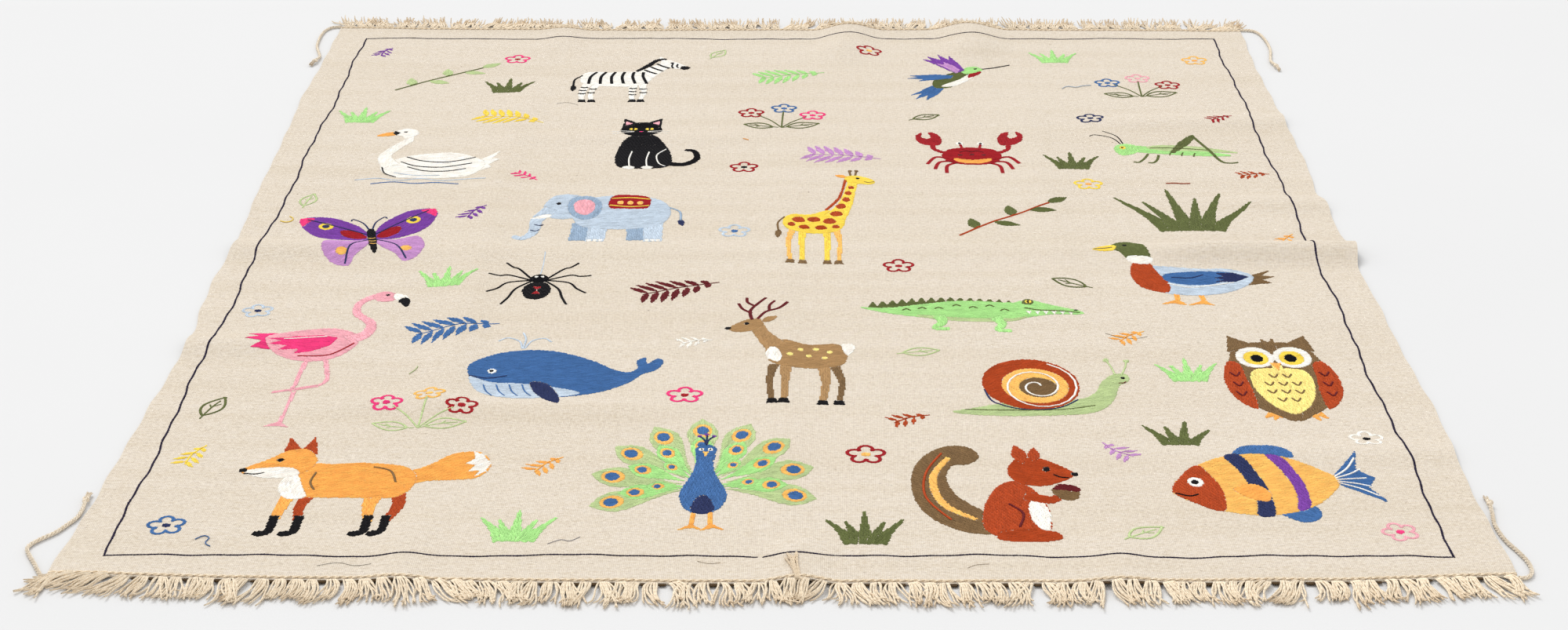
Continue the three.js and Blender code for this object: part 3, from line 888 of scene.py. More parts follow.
def fish():
    parts = [
        fill("blue", sharp(96, 0, 172, 66, 156, 26, 178, 0, 156, -26, 172, -66), 0),
        fill("blue", soft(-50, 60, -10, 104, 50, 96, 62, 62, 10, 70), 60),
        fill("blue", soft(-20, -60, 10, -100, 46, -92, 44, -60), 120),
        fill("mustard", soft(-168, 0, -130, 46, -70, 74, 0, 78, 60, 56, 110, 14, 110, -14, 60, -56, 0, -76,
            -70, -72, -130, -44), 0),
        fill("rust", soft(-168, 0, -134, 44, -104, 62, -90, 30, -86, 0, -90, -30, -104, -60, -134, -42),
            90),
        fill("navy", soft(-52, 78, -26, 80, -14, 40, -10, 0, -14, -40, -26, -78, -52, -76, -40, -40, -36, 0,
            -40, 40), 90),
        fill("purple", soft(18, 72, 42, 64, 52, 30, 54, 0, 50, -32, 40, -64, 18, -70, 30, -34, 34, 0, 30,
            36), 90),
        fill("white", oval(-122, 20, 13, 13)),
        fill("black", oval(-123, 20, 6, 6)),
        fill("orange", soft(-66, -4, -30, 6, -10, -18, -22, -42, -50, -30), 30),
        line("black", curve(-164, -6, -146, -16, -130, -14)),
    ]
    for y in (-44, -22, 0, 22, 44):
        parts.append(line("white", curve(112, y * 0.2, 140, y * 0.6, 162, y * 1.1)))
    return parts


def whale():
    parts = [
        fill("blue", soft(-172, 6, -176, 44, -140, 84, -76, 102, 0, 96, 70, 66, 124, 30, 150, 22, 168, 36,
            164, 62, 182, 74, 186, 52, 206, 70, 220, 58, 206, 30, 178, 14, 150, -18, 90, -52, 10, -72, -80,
            -74, -146, -46), 8),
        fill("light_blue", soft(-170, 2, -120, -14, -60, -20, 10, -34, 60, -54, 10, -72, -80, -76, -146,
            -48), 0),
        fill("navy", soft(-44, -14, -10, -20, 16, -62, 20, -96, -8, -82, -34, -48), 70),
        fill("white", oval(-128, 26, 9, 8)),
        fill("black", oval(-129, 26, 4.5, 4.5)),
        line("navy", curve(-170, 4, -130, 0, -96, 8)),
        *strokes("light_blue", 3, (-78, 110, -86, 136, -112, 150, -130, 138),
            (-76, 110, -74, 144, -82, 168), (-72, 110, -60, 138, -36, 148, -20, 134)),
    ]
    for x in (-130, -104, -78, -52):
        parts.append(line("blue", curve(x - 8, -24, x, -46, x + 14, -66), 2))
    return parts


def cat():
    return [
        fill("black", limb([20, 18, 17, 14, 8], 58, -92, 104, -98, 134, -70, 128, -30, 104, -22), 0),
        fill("black", soft(-52, -108, -62, -50, -52, 10, -26, 46, 14, 50, 48, 14, 70, -40, 74, -92, 56,
            -114, 0, -118), 85),
        fill("black", oval(-10, 84, 52, 44), 0),
        fill("black", sharp(-58, 96, -56, 150, -16, 122)),
        fill("black", sharp(38, 96, 38, 150, -2, 122)),
        fill("pink", sharp(-52, 112, -51, 136, -34, 122)),
        fill("pink", sharp(32, 112, 33, 136, 16, 122)),
        *dots("yellow", 10, 8, -30, 90, 10, 90),
        *dots("black", 3, 8, -30, 90, 10, 90),
        fill("hot_pink", sharp(-17, 74, -3, 74, -10, 66)),
        *strokes("white", 1.8, (-28, 70, -56, 74, -80, 72), (-28, 66, -54, 62, -78, 54),
            (8, 70, 36, 74, 60, 72), (8, 66, 34, 62, 58, 54)),
        *strokes("white", 2.6, (-24, -30, -28, -70, -24, -112), (18, -34, 14, -74, 18, -112),
            (58, -20, 38, -50, 44, -90, 60, -108)),
        *dots("white", 15, 7, -26, -112, 18, -112),
    ]


def giraffe():
    parts = [
        *hoofed_legs("brown", -100, -198, ("mustard", 20, -44, -54, -50), ("mustard", 20, 60, 72, 68),
            ("yellow", 23, -20, -24, -22), ("yellow", 23, 36, 40, 38)),
        fill("yellow", soft(-66, 30, -64, -20, -34, -52, 30, -56, 76, -40, 88, 0, 70, 32, 20, 40, -30, 62),
            10),
        fill("yellow", limb([58, 36, 28, 26], -44, 24, -70, 90, -84, 160, -92, 212), 80),
        fill("yellow", soft(-150, 216, -140, 200, -110, 204, -76, 216, -74, 244, -100, 250, -132, 238), 20),
        fill("rust", limb([8, 7, 6], -20, 62, -56, 130, -74, 226), 80),
        fill("orange", leaf(-78, 240, -46, 254, 16)),
        *strokes("brown", 4, (-100, 250, -102, 266, -104, 274), (-88, 250, -86, 266, -86, 274)),
        *dots("brown", 5, 5, -104, 276, -86, 276),
        fill("black", oval(-106, 234, 4.5, 5)),
        line("brown", curve(-148, 214, -134, 210, -124, 214), 2),
        line("brown", curve(84, 20, 100, -10, 98, -50), 3.4),
        fill("brown", leaf(98, -44, 100, -84, 16)),
    ]
    spots = ((-48, 44, 16, 13), (-60, 84, 13, 13), (-74, 120, 10, 12), (-80, 154, 9, 10), (-88, 184, 8, 8),
             (-30, 6, 16, 14), (10, 14, 17, 13), (48, 8, 16, 14), (-8, -28, 15, 11), (34, -28, 14, 10),
             (66, -18, 9, 11), (-46, -22, 9, 10))
    patch = pairs((-1, -0.4, -0.5, 1, 0.6, 0.8, 1, -0.3, 0.2, -1))
    for x, y, across, up in spots:
        parts.append(fill("rust", through(patch * (across, up) + (x, y), True)))
    return parts


def moth():
    half = [
        fill("purple", soft(6, 20, 30, 70, 90, 116, 150, 118, 146, 70, 110, 22, 50, -4, 8, 0), 40),
        fill("lilac", soft(6, -4, 50, -10, 100, -2, 112, -44, 92, -92, 60, -106, 44, -74, 16, -44), -30),
        fill("yellow", oval(98, 74, 17, 15, 30), 0),
        fill("navy", oval(98, 74, 8, 8)),
        fill("crimson", soft(10, 10, 34, 42, 66, 50, 62, 24, 34, 4), 40),
        fill("mustard", oval(70, -56, 13, 12), 0),
        fill("hot_pink", soft(120, 116, 152, 119, 150, 84, 136, 98), 60),
        *strokes("navy", 2.6, (10, 22, 60, 60, 136, 112), (10, -6, 50, -40, 66, -98),
            (4, 46, 14, 78, 34, 98, 40, 92)),
    ]
    return mirrored(half) + [
        fill("black", soft(0, 50, 9, 38, 9, 0, 7, -50, 0, -70, -7, -50, -9, 0, -9, 38), 90),
        *strokes("mustard", 2.6, (-7, 4, 0, 2, 7, 4), (-7, -14, 0, -16, 7, -14), (-6, -32, 0, -34, 6, -32)),
    ]


def crab():
    half = [
        *strokes("crimson", 7, (50, -20, 92, -6, 116, -44), (48, -30, 84, -34, 98, -72),
            (42, -38, 66, -54, 70, -92)),
        fill("crimson", limb([12, 12, 14], 56, 8, 92, 34, 98, 62)),
        fill("crimson", soft(80, 60, 72, 92, 84, 124, 104, 132, 100, 108, 108, 96, 124, 106, 122, 130, 138,
            112, 134, 80, 112, 60), 70),
        line("crimson", curve(20, 34, 24, 52, 26, 62), 5),
        fill("white", oval(27, 68, 9, 9)),
        fill("black", oval(27, 69, 4.5, 4.5)),
    ]
    return mirrored(half) + [
        fill("crimson", soft(-76, 0, -60, 32, -24, 44, 24, 44, 60, 32, 76, 0, 56, -36, 0, -48, -56, -36),
            0),
        fill("orange", soft(-50, -14, 0, -22, 50, -14, 36, -34, 0, -42, -36, -34), 0),
        line("maroon", curve(-30, 18, -14, 26, 0, 20, 14, 26, 30, 18)),
        *dots("maroon", 6, 5, -30, 4, 30, 4, 0, 6),
    ]


def crocodile():
    back = []
    for i in range(15):
        x = -70 + i * 20
        y = 34 - 0.00075 * (x - 30) ** 2
        back += [x, y, x + 10, y + 16]
    parts = [
        fill("dark_green", pairs(back + [230, 2, 120, 0, -70, 6])),
        fill("bright_green", soft(-206, 6, -150, 26, -110, 44, -84, 42, -60, 34, 40, 36, 120, 20, 190, 4,
            244, 4, 190, -16, 120, -28, 40, -40, -60, -36, -100, -20, -150, -8, -204, -6), 5),
        fill("sage", soft(-96, -18, -60, -26, 40, -28, 120, -20, 120, -28, 40, -41, -60, -37), 0),
        fill("bright_green", limb([24, 18, 14, 10], -30, -24, -44, -48, -36, -70, -62, -72)),
        fill("bright_green", limb([26, 20, 14, 10], 84, -22, 76, -46, 90, -68, 62, -70)),
        fill("dark_green", oval(-98, 38, 12, 11)),
        fill("yellow", oval(-99, 39, 7, 6)),
        fill("black", oval(-99, 39, 2.6, 5)),
        line("dark_green", curve(-202, 0, -160, 4, -120, 6, -92, 14)),
        fill("black", oval(-196, 9, 3.6, 3)),
    ]
    for x in range(-190, -104, 17):
        parts.append(fill("white", sharp(x, 3, x + 11, 3, x + 5, -9), 90))
    for x, y in ((-20, 16), (14, 8), (48, 14), (84, 4), (-50, 2), (118, 2), (150, -4)):
        parts.append(line("dark_green", curve(x - 8, y, x, y + 5, x + 8, y)))
    return parts


def squirrel():
    return [
        fill("brown", soft(30, -96, 84, -90, 132, -50, 148, 10, 138, 66, 104, 104, 64, 108, 44, 84, 62, 64,
            86, 60, 96, 30, 86, -6, 56, -40, 26, -60), 60),
        fill("mustard", limb([6, 12, 12, 8], 60, -66, 104, -30, 116, 30, 90, 80), 60),
        fill("rust", soft(-36, -98, -46, -50, -34, -6, -6, 24, 24, 10, 46, -36, 50, -84, 24, -104), 80),
        fill("rust", soft(-92, 42, -76, 24, -44, 12, -10, 18, 6, 44, -6, 74, -38, 80, -66, 66), 15),
        fill("rust", leaf(-20, 66, -10, 112, 22)),
        fill("rust", leaf(-36, 70, -38, 106, 18)),
        fill("white", soft(-40, -92, -46, -50, -34, -14, -18, -30, -20, -70), 85),
        fill("rust", limb([20, 15, 12], -14, -10, -54, -20, -66, -2)),
        fill("brown", soft(-92, -14, -92, 8, -68, 14, -54, 2, -64, -16, -80, -22), 30),
        fill("maroon", soft(-94, -2, -92, 10, -68, 16, -56, 4, -72, 2), 30),
        fill("rust", soft(-56, -108, -50, -92, -14, -88, 26, -92, 30, -110, -20, -114), 0),
        fill("black", oval(-52, 52, 5.5, 6)),
        fill("black", oval(-92, 40, 5, 5)),
        line("maroon", curve(10, -30, -8, -52, 0, -82)),
        line("black", curve(-82, 30, -70, 32, -62, 38), 2),
        line("rust", curve(96, -66, 128, -16, 126, 40, 100, 90)),
    ]


def elephant():
    parts = [
        fill("grey_blue", limb([40, 38], -58, -30, -60, -108)),
        fill("grey_blue", limb([40, 38], 62, -30, 66, -108)),
        fill("light_blue", limb([44, 40], -20, -34, -22, -112)),
        fill("light_blue", limb([44, 40], 100, -20, 104, -112)),
        fill("light_blue", soft(-70, 66, -84, 10, -60, -44, 0, -58, 70, -54, 122, -30, 136, 24, 108, 76, 40,
            96, -20, 92), 12),
        fill("light_blue", soft(-148, 60, -150, 18, -122, -10, -80, -6, -58, 30, -62, 84, -100, 102, -132,
            92), 20),
        fill("light_blue", limb([40, 28, 22, 16, 14], -132, 34, -158, -16, -160, -70, -180, -98, -202, -90),
            70),
        fill("grey_blue", soft(-84, 88, -98, 50, -84, 6, -54, -16, -26, 4, -20, 50, -44, 90), 80),
        fill("pink", soft(-76, 72, -84, 48, -74, 18, -54, 6, -38, 22, -36, 52, -52, 76), 80),
        fill("white", leaf(-128, 6, -176, -14, 17, 0.3), 20),
        fill("black", oval(-118, 58, 5, 6)),
        line("grey_blue", curve(132, 40, 156, 20, 160, -20), 3.6),
        fill("navy", leaf(158, -14, 166, -44, 14)),
        *strokes("navy", 2, (-160, -40, -148, -44, -142, -38), (-166, -64, -156, -68, -148, -62)),
        fill("crimson", soft(0, 92, -4, 40, 20, 34, 60, 34, 84, 40, 84, 86, 40, 98), 0),
        *strokes("yellow", 3.4, (-2, 48, 40, 42, 84, 48), (0, 80, 40, 84, 84, 78)),
    ]
    for x in (20, 42, 64):
        parts.append(fill("mustard", oval(x, 62, 7, 9)))
    for x in (-34, -22, -10, 92, 104, 116):
        parts.append(fill("white", oval(x, -107, 5, 5)))
    return parts


def swan():
    return [
        line("light_blue", curve(-150, -92, -100, -84, -50, -94, 0, -86, 50, -94, 110, -86, 150, -92), 3),
        line("blue", curve(-110, -110, -60, -102, -10, -110, 40, -104, 90, -110), 3),
        fill("white", sharp(104, -10, 168, 44, 152, 6, 170, 0, 148, -24, 156, -40, 104, -60), 20),
        fill("white", soft(-96, -10, -100, -46, -60, -78, 20, -84, 100, -74, 138, -36, 124, 10, 60, 44, 0,
            40, -50, 24), 10),
        fill("white", limb([44, 30, 24, 22, 24], -80, -26, -104, 24, -84, 76, -62, 112, -82, 146), 70),
        fill("white", soft(-104, 152, -92, 132, -62, 126, -46, 142, -54, 164, -82, 170), 0),
        fill("orange", soft(-102, 154, -128, 146, -144, 132, -122, 130, -98, 138), 20),
        fill("black", sharp(-104, 158, -90, 148, -98, 134, -108, 144)),
        fill("black", oval(-78, 152, 4, 4)),
        *strokes("black", 2.6, (-50, 20, -10, 0, 50, -4, 110, 20), (-60, -4, -20, -26, 40, -30, 106, -10),
            (-40, -30, 0, -48, 50, -50, 96, -38)),
        line("light_blue", curve(-66, -58, -20, -70, 40, -70), 2.2),
        line("black", curve(-100, -30, -88, -60, -60, -78), 2),
    ]


def spider():
    parts = []
    for side in (-1, 1):
        for sx, kx, ky, ex, ey in ((16, 62, 66, 104, 112), (20, 86, 34, 146, 44), (20, 86, -6, 140, -52),
                                   (16, 60, -40, 92, -112)):
            leg = curve(sx, 14, kx, ky + 10, (kx + ex) / 2, (ky + ey) / 2, ex, ey)
            parts.append(line("black", leg * (side, 1), 5))
    return parts + [
        fill("black", oval(0, -40, 40, 48), 90),
        fill("black", oval(0, 24, 25, 24), 0),
        fill("crimson", sharp(-12, -20, 12, -20, 0, -38, 12, -58, -12, -58, 0, -38)),
        *dots("white", 5, 5, -9, 34, 9, 34),
        line("light_blue", curve(0, 48, 2, 100, 0, 170), 1.8),
    ]


def grasshopper():
    return [
        *strokes("dark_green", 5, (-70, -10, -84, -36, -100, -56, -112, -54),
            (-44, -16, -52, -42, -64, -58, -76, -58)),
        fill("bright_green", limb([34, 36, 34, 24, 8], -112, 20, -60, 12, 10, 2, 80, -10, 138, -20), 0),
        fill("bright_green", soft(-152, 8, -148, 34, -120, 46, -94, 34, -92, 6, -112, -12, -138, -16), 70),
        fill("sage", soft(-70, 26, -20, 40, 60, 30, 152, 2, 150, -6, 60, 4, -20, 6), -8),
        fill("dark_green", limb([10, 26, 22, 8], -8, -4, 26, 44, 50, 76, 60, 94), 60),
        line("dark_green", curve(60, 94, 82, 30, 104, -40, 116, -58), 6),
        line("dark_green", curve(116, -58, 134, -60, 150, -56), 5),
        fill("yellow", oval(-130, 24, 8, 8)),
        fill("black", oval(-131, 24, 3.6, 4)),
        *strokes("black", 2.2, (-132, 44, -150, 80, -190, 98, -206, 92), (-126, 46, -136, 90, -168, 120)),
        *strokes("dark_green", 2.4, (-60, 22, 0, 22, 90, 8), (-10, -2, -14, -10, -16, -16),
            (20, -4, 16, -12, 14, -20), (50, -8, 46, -16, 44, -24)),
    ]


def deer():
    return [
        *hoofed_legs("black", -82, -148, ("brown", 20, -50, -58, -52), ("brown", 20, 66, 78, 72),
            ("pale_brown", 24, -28, -28, -30), ("pale_brown", 26, 44, 48, 42)),
        fill("pale_brown", soft(-64, 40, -62, -8, -30, -34, 40, -34, 82, -20, 90, 20, 70, 48, 10, 46, -30,
            56), 8),
        fill("white", soft(80, 44, 100, 50, 104, 28, 88, 10), 60),
        fill("pale_brown", limb([44, 30, 26], -46, 32, -72, 76, -86, 112), 70),
        fill("pale_brown", soft(-142, 104, -126, 92, -96, 96, -74, 110, -78, 134, -102, 138, -124, 124),
            15),
        fill("white", soft(-60, 30, -66, 0, -44, -20, -36, 0, -44, 26), 80),
        fill("pale_brown", leaf(-78, 126, -44, 142, 18)),
        fill("black", oval(-142, 106, 6, 5)),
        fill("black", oval(-106, 122, 4.5, 5)),
        line("maroon", curve(-96, 136, -100, 168, -84, 196, -70, 214), 5),
        *strokes("maroon", 4.4, (-98, 160, -116, 176, -124, 196), (-90, 184, -106, 200, -108, 218)),
        line("maroon", curve(-86, 136, -70, 160, -44, 172, -26, 196), 5),
        line("maroon", curve(-62, 164, -62, 184, -52, 200), 4.4),
        *dots("pale_yellow", 6, 5, 0, 26, 30, 30, 56, 20, 16, 6, 46, 0, -20, 8),
    ]


def zebra():
    parts = [
        *hoofed_legs("black", -80, -134, ("white", 23, -62, -70, -64), ("white", 23, 62, 74, 68),
            ("white", 26, -38, -38, -42), ("white", 28, 88, 98, 94)),
        fill("white", soft(-84, 40, -82, -10, -40, -42, 40, -42, 100, -26, 112, 16, 92, 48, 30, 46, -30,
            52), 8),
        fill("white", limb([62, 44, 34], -66, 30, -98, 72, -122, 104), 60),
        fill("white", soft(-186, 78, -172, 66, -140, 76, -108, 92, -104, 120, -128, 128, -156, 108), 20),
        fill("white", leaf(-112, 118, -100, 150, 16)),
        fill("black", soft(-188, 80, -176, 66, -160, 72, -168, 90)),
        fill("black", oval(-136, 108, 4.5, 5)),
        fill("black", limb([10, 16, 14, 8], -40, 54, -70, 92, -92, 126, -118, 136), 60),
        line("black", curve(108, 24, 126, 0, 126, -40), 4),
        fill("black", leaf(126, -34, 124, -76, 16)),
    ]
    for x, sway in ((-60, -14), (-34, -8), (-8, -2), (18, 4), (44, 10), (70, 16)):
        parts.append(line("black", curve(x, 46, x + sway * 0.5 + 6, 16, x + sway, -26), 6))
    for x, y in ((-76, 50), (-92, 70), (-108, 90)):
        parts.append(line("black", curve(x - 20, y - 14, x - 2, y - 2, x + 14, y + 12), 5.4))
    for x, y in pairs((-39, -56, -40, -76, -41, -96, 94, -50, 97, -70, 97, -90, -67, -60, -69, -84,
                       70, -60, 73, -84)):
        parts.append(line("black", curve(x - 9, y, x, y - 3, x + 9, y), 4.4))
    for x in (-150, -136):
        parts.append(line("black", curve(x - 4, 76, x, 88, x - 2, 100), 3.4))
    return parts


def hummingbird():
    return [
        fill("blue", sharp(-30, -20, -96, -84, -70, -74, -84, -104, -56, -84, -60, -110, -34, -80, -8, -32),
            50),
        fill("dark_green", soft(-40, -10, -36, -44, 0, -40, 40, 0, 56, 34, 40, 50, 10, 40, -20, 16), 45),
        fill("white", soft(-22, -34, 10, -34, 50, 6, 58, 30, 44, 26, 20, 0), 45),
        fill("crimson", soft(44, 10, 62, 22, 76, 40, 64, 50, 50, 40), 60),
        fill("bright_green", soft(30, 44, 40, 30, 66, 40, 80, 54, 66, 70, 44, 66), 30),
        fill("black", oval(64, 57, 4, 4)),
        line("black", curve(78, 56, 110, 66, 146, 82), 3.4),
        fill("purple", sharp(16, 34, -12, 66, -60, 118, -34, 108, -48, 134, -14, 110, -20, 140, 6, 106, 6,
            130, 26, 90, 38, 50), 120),
        fill("lilac", sharp(20, 34, 0, 60, -28, 90, -8, 84, -8, 98, 12, 80, 28, 54), 120),
        fill("blue", sharp(10, 22, -30, 30, -92, 22, -72, 16, -100, 6, -60, 4, -74, -8, -30, 0, 4, 8), 0),
    ]




def flower(petal, heart, reach=26):
    angle = np.linspace(0, 2 * math.pi, 60, endpoint=False)
    radius = reach * (0.55 + 0.45 * np.abs(np.cos(2.5 * angle)) ** 0.7)
    ring = np.stack([radius * np.sin(angle), radius * np.cos(angle)], axis=1)
    return [line(petal, np.concatenate([ring, ring[:2]]), 4.8), fill(heart, oval(0, 0, 6, 6))]


def fern(colour, long=120, rows=7, blade=34):
    parts = [line(colour, curve(-long / 2, -4, 0, 3, long / 2, -2), 2.6)]
    for i in range(rows):
        share = (i + 0.5) / rows
        x = -long / 2 + share * long * 0.94
        reach = blade * math.sin(math.pi * (0.22 + 0.72 * share))
        for side in (-1, 1):
            parts.append(fill(colour, leaf(x, 0, x - reach * 0.62, side * reach, blade * 0.26), 120 * side))
    return parts


def leaf_outline(colour, long=60):
    ring = leaf(-long / 2, 0, long / 2, 0, long * 0.5)
    return [
        line(colour, np.concatenate([ring, ring[:1]]), 3.6),
        line(colour, curve(-long / 2 - 10, -2, 0, 1, long * 0.3, 0), 2.6),
        line(colour, curve(-long * 0.1, 0, long * 0.04, long * 0.12), 2.2),
        line(colour, curve(0, 0, long * 0.16, -long * 0.1), 2.2),
    ]


def tuft(colour, tall=90, blades=5, wide=0.2):
    parts = []
    for i in range(blades):
        share = i / (blades - 1) - 0.5
        reach = tall * (1 - 0.5 * abs(share)) * (0.78 if i % 2 else 1.0)
        base, tip = share * tall * 0.42, share * tall * 1.15
        parts.append(fill(colour, limb([tall * wide, tall * wide, tall * wide * 0.55, 3], base, 0,
                                       mix(base, tip, 0.3), reach * 0.42, tip, reach), 90 - 60 * share))
    return parts


def moved(parts, x, y, turn=0.0, size=1.0):
    out = []
    for kind, colour, shape, last in parts:
        last = last + turn if kind == "fill" and last is not None else last
        out.append((kind, colour, turned(shape * size, turn) + (x, y), last))
    return out


def posy(stem, *petals):
    parts = []
    places = ((-62, 84), (4, 112), (62, 70))
    for (x, y), petal in zip(places, petals):
        parts.append(line(stem, curve(0, 0, x * 0.36, y * 0.5, x * 0.78, y * 0.86), 2.8))
        parts += moved(flower(petal, petal, 25), x, y)
    parts += moved(leaf_outline(stem, 66), 42, 14, 16)
    return parts + moved(leaf_outline(stem, 60), -46, 10, 164)


def stem_of_leaves(stem, blade):
    """A leaning stem with filled leaves to each side."""
    parts = [line(stem, curve(-70, -60, -20, -10, 30, 30, 80, 70), 4.4)]
    for x, y, turn in ((-42, -34, 100), (-14, -6, -20), (18, 20, 96), (46, 44, -10), (78, 70, 40)):
        blade_shape = moved([fill(blade, leaf(0, 0, 44, 0, 20), 0)], x, y, turn)
        parts += blade_shape
    return parts


# The drawing, its place in the cloth's tables in millimetres, its turn, its size and its face
ANIMAL_PLACES = (
    (fox, -640, -960, 0, 0.86, 1), (peacock, -120, -950, 0, 0.82, 1), (squirrel, 330, -965, 0, 1.0, -1),
    (fish, 705, -945, 8, 0.88, 1),
    (flamingo, -755, -470, 0, 0.82, -1), (whale, -370, -590, 0, 0.78, 1), (deer, 20, -515, 0, 0.84, 1),
    (snail, 395, -640, 0, 0.8, 1), (owl, 780, -585, 0, 0.84, 1),
    (spider, -430, -215, 0, 0.6, 1), (crocodile, 320, -330, -3, 0.82, -1), (duck, 690, -195, 0, 0.78, -1),
    (moth, -745, -20, 12, 0.8, 1),
    (elephant, -330, 90, 0, 0.82, 1), (giraffe, 50, 60, 0, 0.72, -1), (cat, -290, 455, 0, 0.8, 1),
    (swan, -700, 370, 0, 0.82, 1), (grasshopper, 745, 420, 0, 0.76, 1), (crab, 350, 400, 0, 0.76, 1),
    (zebra, -360, 850, 0, 0.76, -1),
    (hummingbird, 330, 850, 0, 0.9, 1),
)
PLANT_PLACES = (
    # From the near border up to the whale and the owl
    (flower, ("blue", "navy"), -872, -1066, 10, 1.0),
    (fern, ("yellow", 62, 4, 24), -880, -850, 70, 1.0),
    (tuft, ("bright_green", 92, 5), -378, -1112, 0, 1.0),
    (fern, ("orange", 58, 4, 24), -352, -880, 48, 1.0),
    (tuft, ("dark_green", 96, 5), 112, -1120, 0, 1.0),
    (flower, ("crimson", "mustard"), 118, -850, 0, 1.1),
    (leaf_outline, ("sage", 62), 505, -1088, 35, 1.0),
    (fern, ("lilac", 60, 4, 24), 492, -835, 130, 1.0),
    (tuft, ("dark_green", 92, 4), 590, -820, 0, 0.95),
    (flower, ("pink", "hot_pink"), 862, -1085, 20, 0.95),
    (leaf_outline, ("dark_green", 66), -885, -690, 70, 1.0),
    (posy, ("sage", "hot_pink", "mustard", "crimson"), -560, -765, 0, 0.95),
    (flower, ("hot_pink", "crimson"), -160, -650, 0, 1.05),
    (fern, ("rust", 60, 4, 24), 190, -730, 25, 1.0),
    (tuft, ("bright_green", 90, 5), 635, -600, 0, 0.95),
    (flower, ("white", "black"), 872, -800, 0, 0.95),
    (fern, ("blue", 138, 7, 48), -545, -400, 18, 1.0),
    (fern, ("white", 52, 4, 22), -150, -450, 15, 1.0),
    (leaf_outline, ("sage", 60), 215, -490, 10, 1.0),
    (fern, ("orange", 58, 4, 24), 560, -430, 40, 1.0),
    (flower, ("light_blue", "navy"), -888, -330, 10, 0.95),
    # Round the spider, the duck and the giraffe
    (fern, ("maroon", 138, 7, 46), -185, -235, 22, 1.0),
    (flower, ("crimson", "crimson"), 190, -140, 0, 1.0),
    (leaf_outline, ("dark_green", 64), 480, -215, 150, 1.0),
    (tuft, ("dark_green", 215, 6, 0.12), 725, 20, 0, 1.0),
    (stem_of_leaves, ("rust", "dark_green"), 385, 70, 0, 1.15),
    (fern, ("purple", 60, 4, 24), -575, 105, 60, 1.0),
    (tuft, ("bright_green", 92, 5), -590, -230, 0, 0.95),
    (flower, ("light_blue", "blue"), -100, 20, 0, 1.05),
    (fern, ("orange", 56, 4, 22), 885, -20, 60, 1.0),
    (fern, ("lilac", 138, 7, 48), 105, 400, -12, 1.0),
    (flower, ("yellow", "orange"), 560, 250, 0, 1.0),
    (leaf_outline, ("sage", 58), -892, 170, 80, 1.0),
    (fern, ("hot_pink", 52, 4, 20), -500, 290, -35, 1.0),
    (flower, ("crimson", "black"), -90, 340, 0, 1.0),
    (tuft, ("dark_green", 92, 5), 540, 330, 0, 1.0),
    (fern, ("rust", 56, 4, 22), 880, 300, 10, 1.0),
    # From the cat up to the far border
    (fern, ("yellow", 132, 7, 44), -560, 610, -18, 1.0),
    (posy, ("dark_green", "crimson", "blue", "hot_pink"), -20, 560, 0, 1.0),
    (flower, ("navy", "navy"), 600, 610, 0, 1.0),
    (tuft, ("bright_green", 90, 5), -865, 590, 0, 1.0),
    (leaf_outline, ("dark_green", 58), 270, 620, 25, 1.0),
    (fern, ("crimson", 52, 4, 20), 860, 600, 30, 1.0),
    (fern, ("bright_green", 136, 7, 46), 0, 880, 14, 1.0),
    (stem_of_leaves, ("dark_green", "sage"), -745, 850, 0, 1.1),
    (posy, ("dark_green", "blue", "pink", "crimson"), 720, 745, 0, 1.0),
    (flower, ("hot_pink", "crimson"), -590, 985, 0, 1.0),
    (tuft, ("dark_green", 90, 5), -590, 770, 0, 1.0),
    (flower, ("crimson", "mustard"), 165, 1030, 0, 1.0),
    (flower, ("mustard", "orange"), 860, 975, 0, 1.0),
    (tuft, ("bright_green", 88, 5), 560, 960, 0, 1.0),
    (leaf_outline, ("sage", 56), -160, 1020, 60, 1.0),
    (fern, ("purple", 56, 4, 22), -880, 1035, 70, 1.0),
)


def covered(shape, low, cells):
    """Which 1 mm cells of a grid have their middle inside an outline."""
    flips = np.zeros((cells[1], cells[0] + 1), dtype=int)
    x, y = (shape - low).T
    for x0, y0, x1, y1 in zip(x, y, np.roll(x, -1), np.roll(y, -1)):
        rows = np.arange(math.ceil(min(y0, y1) - 0.5), math.ceil(max(y0, y1) - 0.5))
        if len(rows):
            at = x0 + (rows + 0.5 - y0) * (x1 - x0) / (y1 - y0)
            np.add.at(flips, (rows, np.clip(np.ceil(at - 0.5).astype(int), 0, cells[0])), 1)
    return np.cumsum(flips[:, :-1], axis=1) % 2 == 1


def own_grain(rows, columns):
    """The direction, in degrees, in which a patch is longest."""
    if len(rows) < 3:
        return 0.0
    spread = np.cov(np.stack([columns, rows]))
    values, ways = np.linalg.eigh(spread)
    return math.degrees(math.atan2(ways[1, 1], ways[0, 1]))


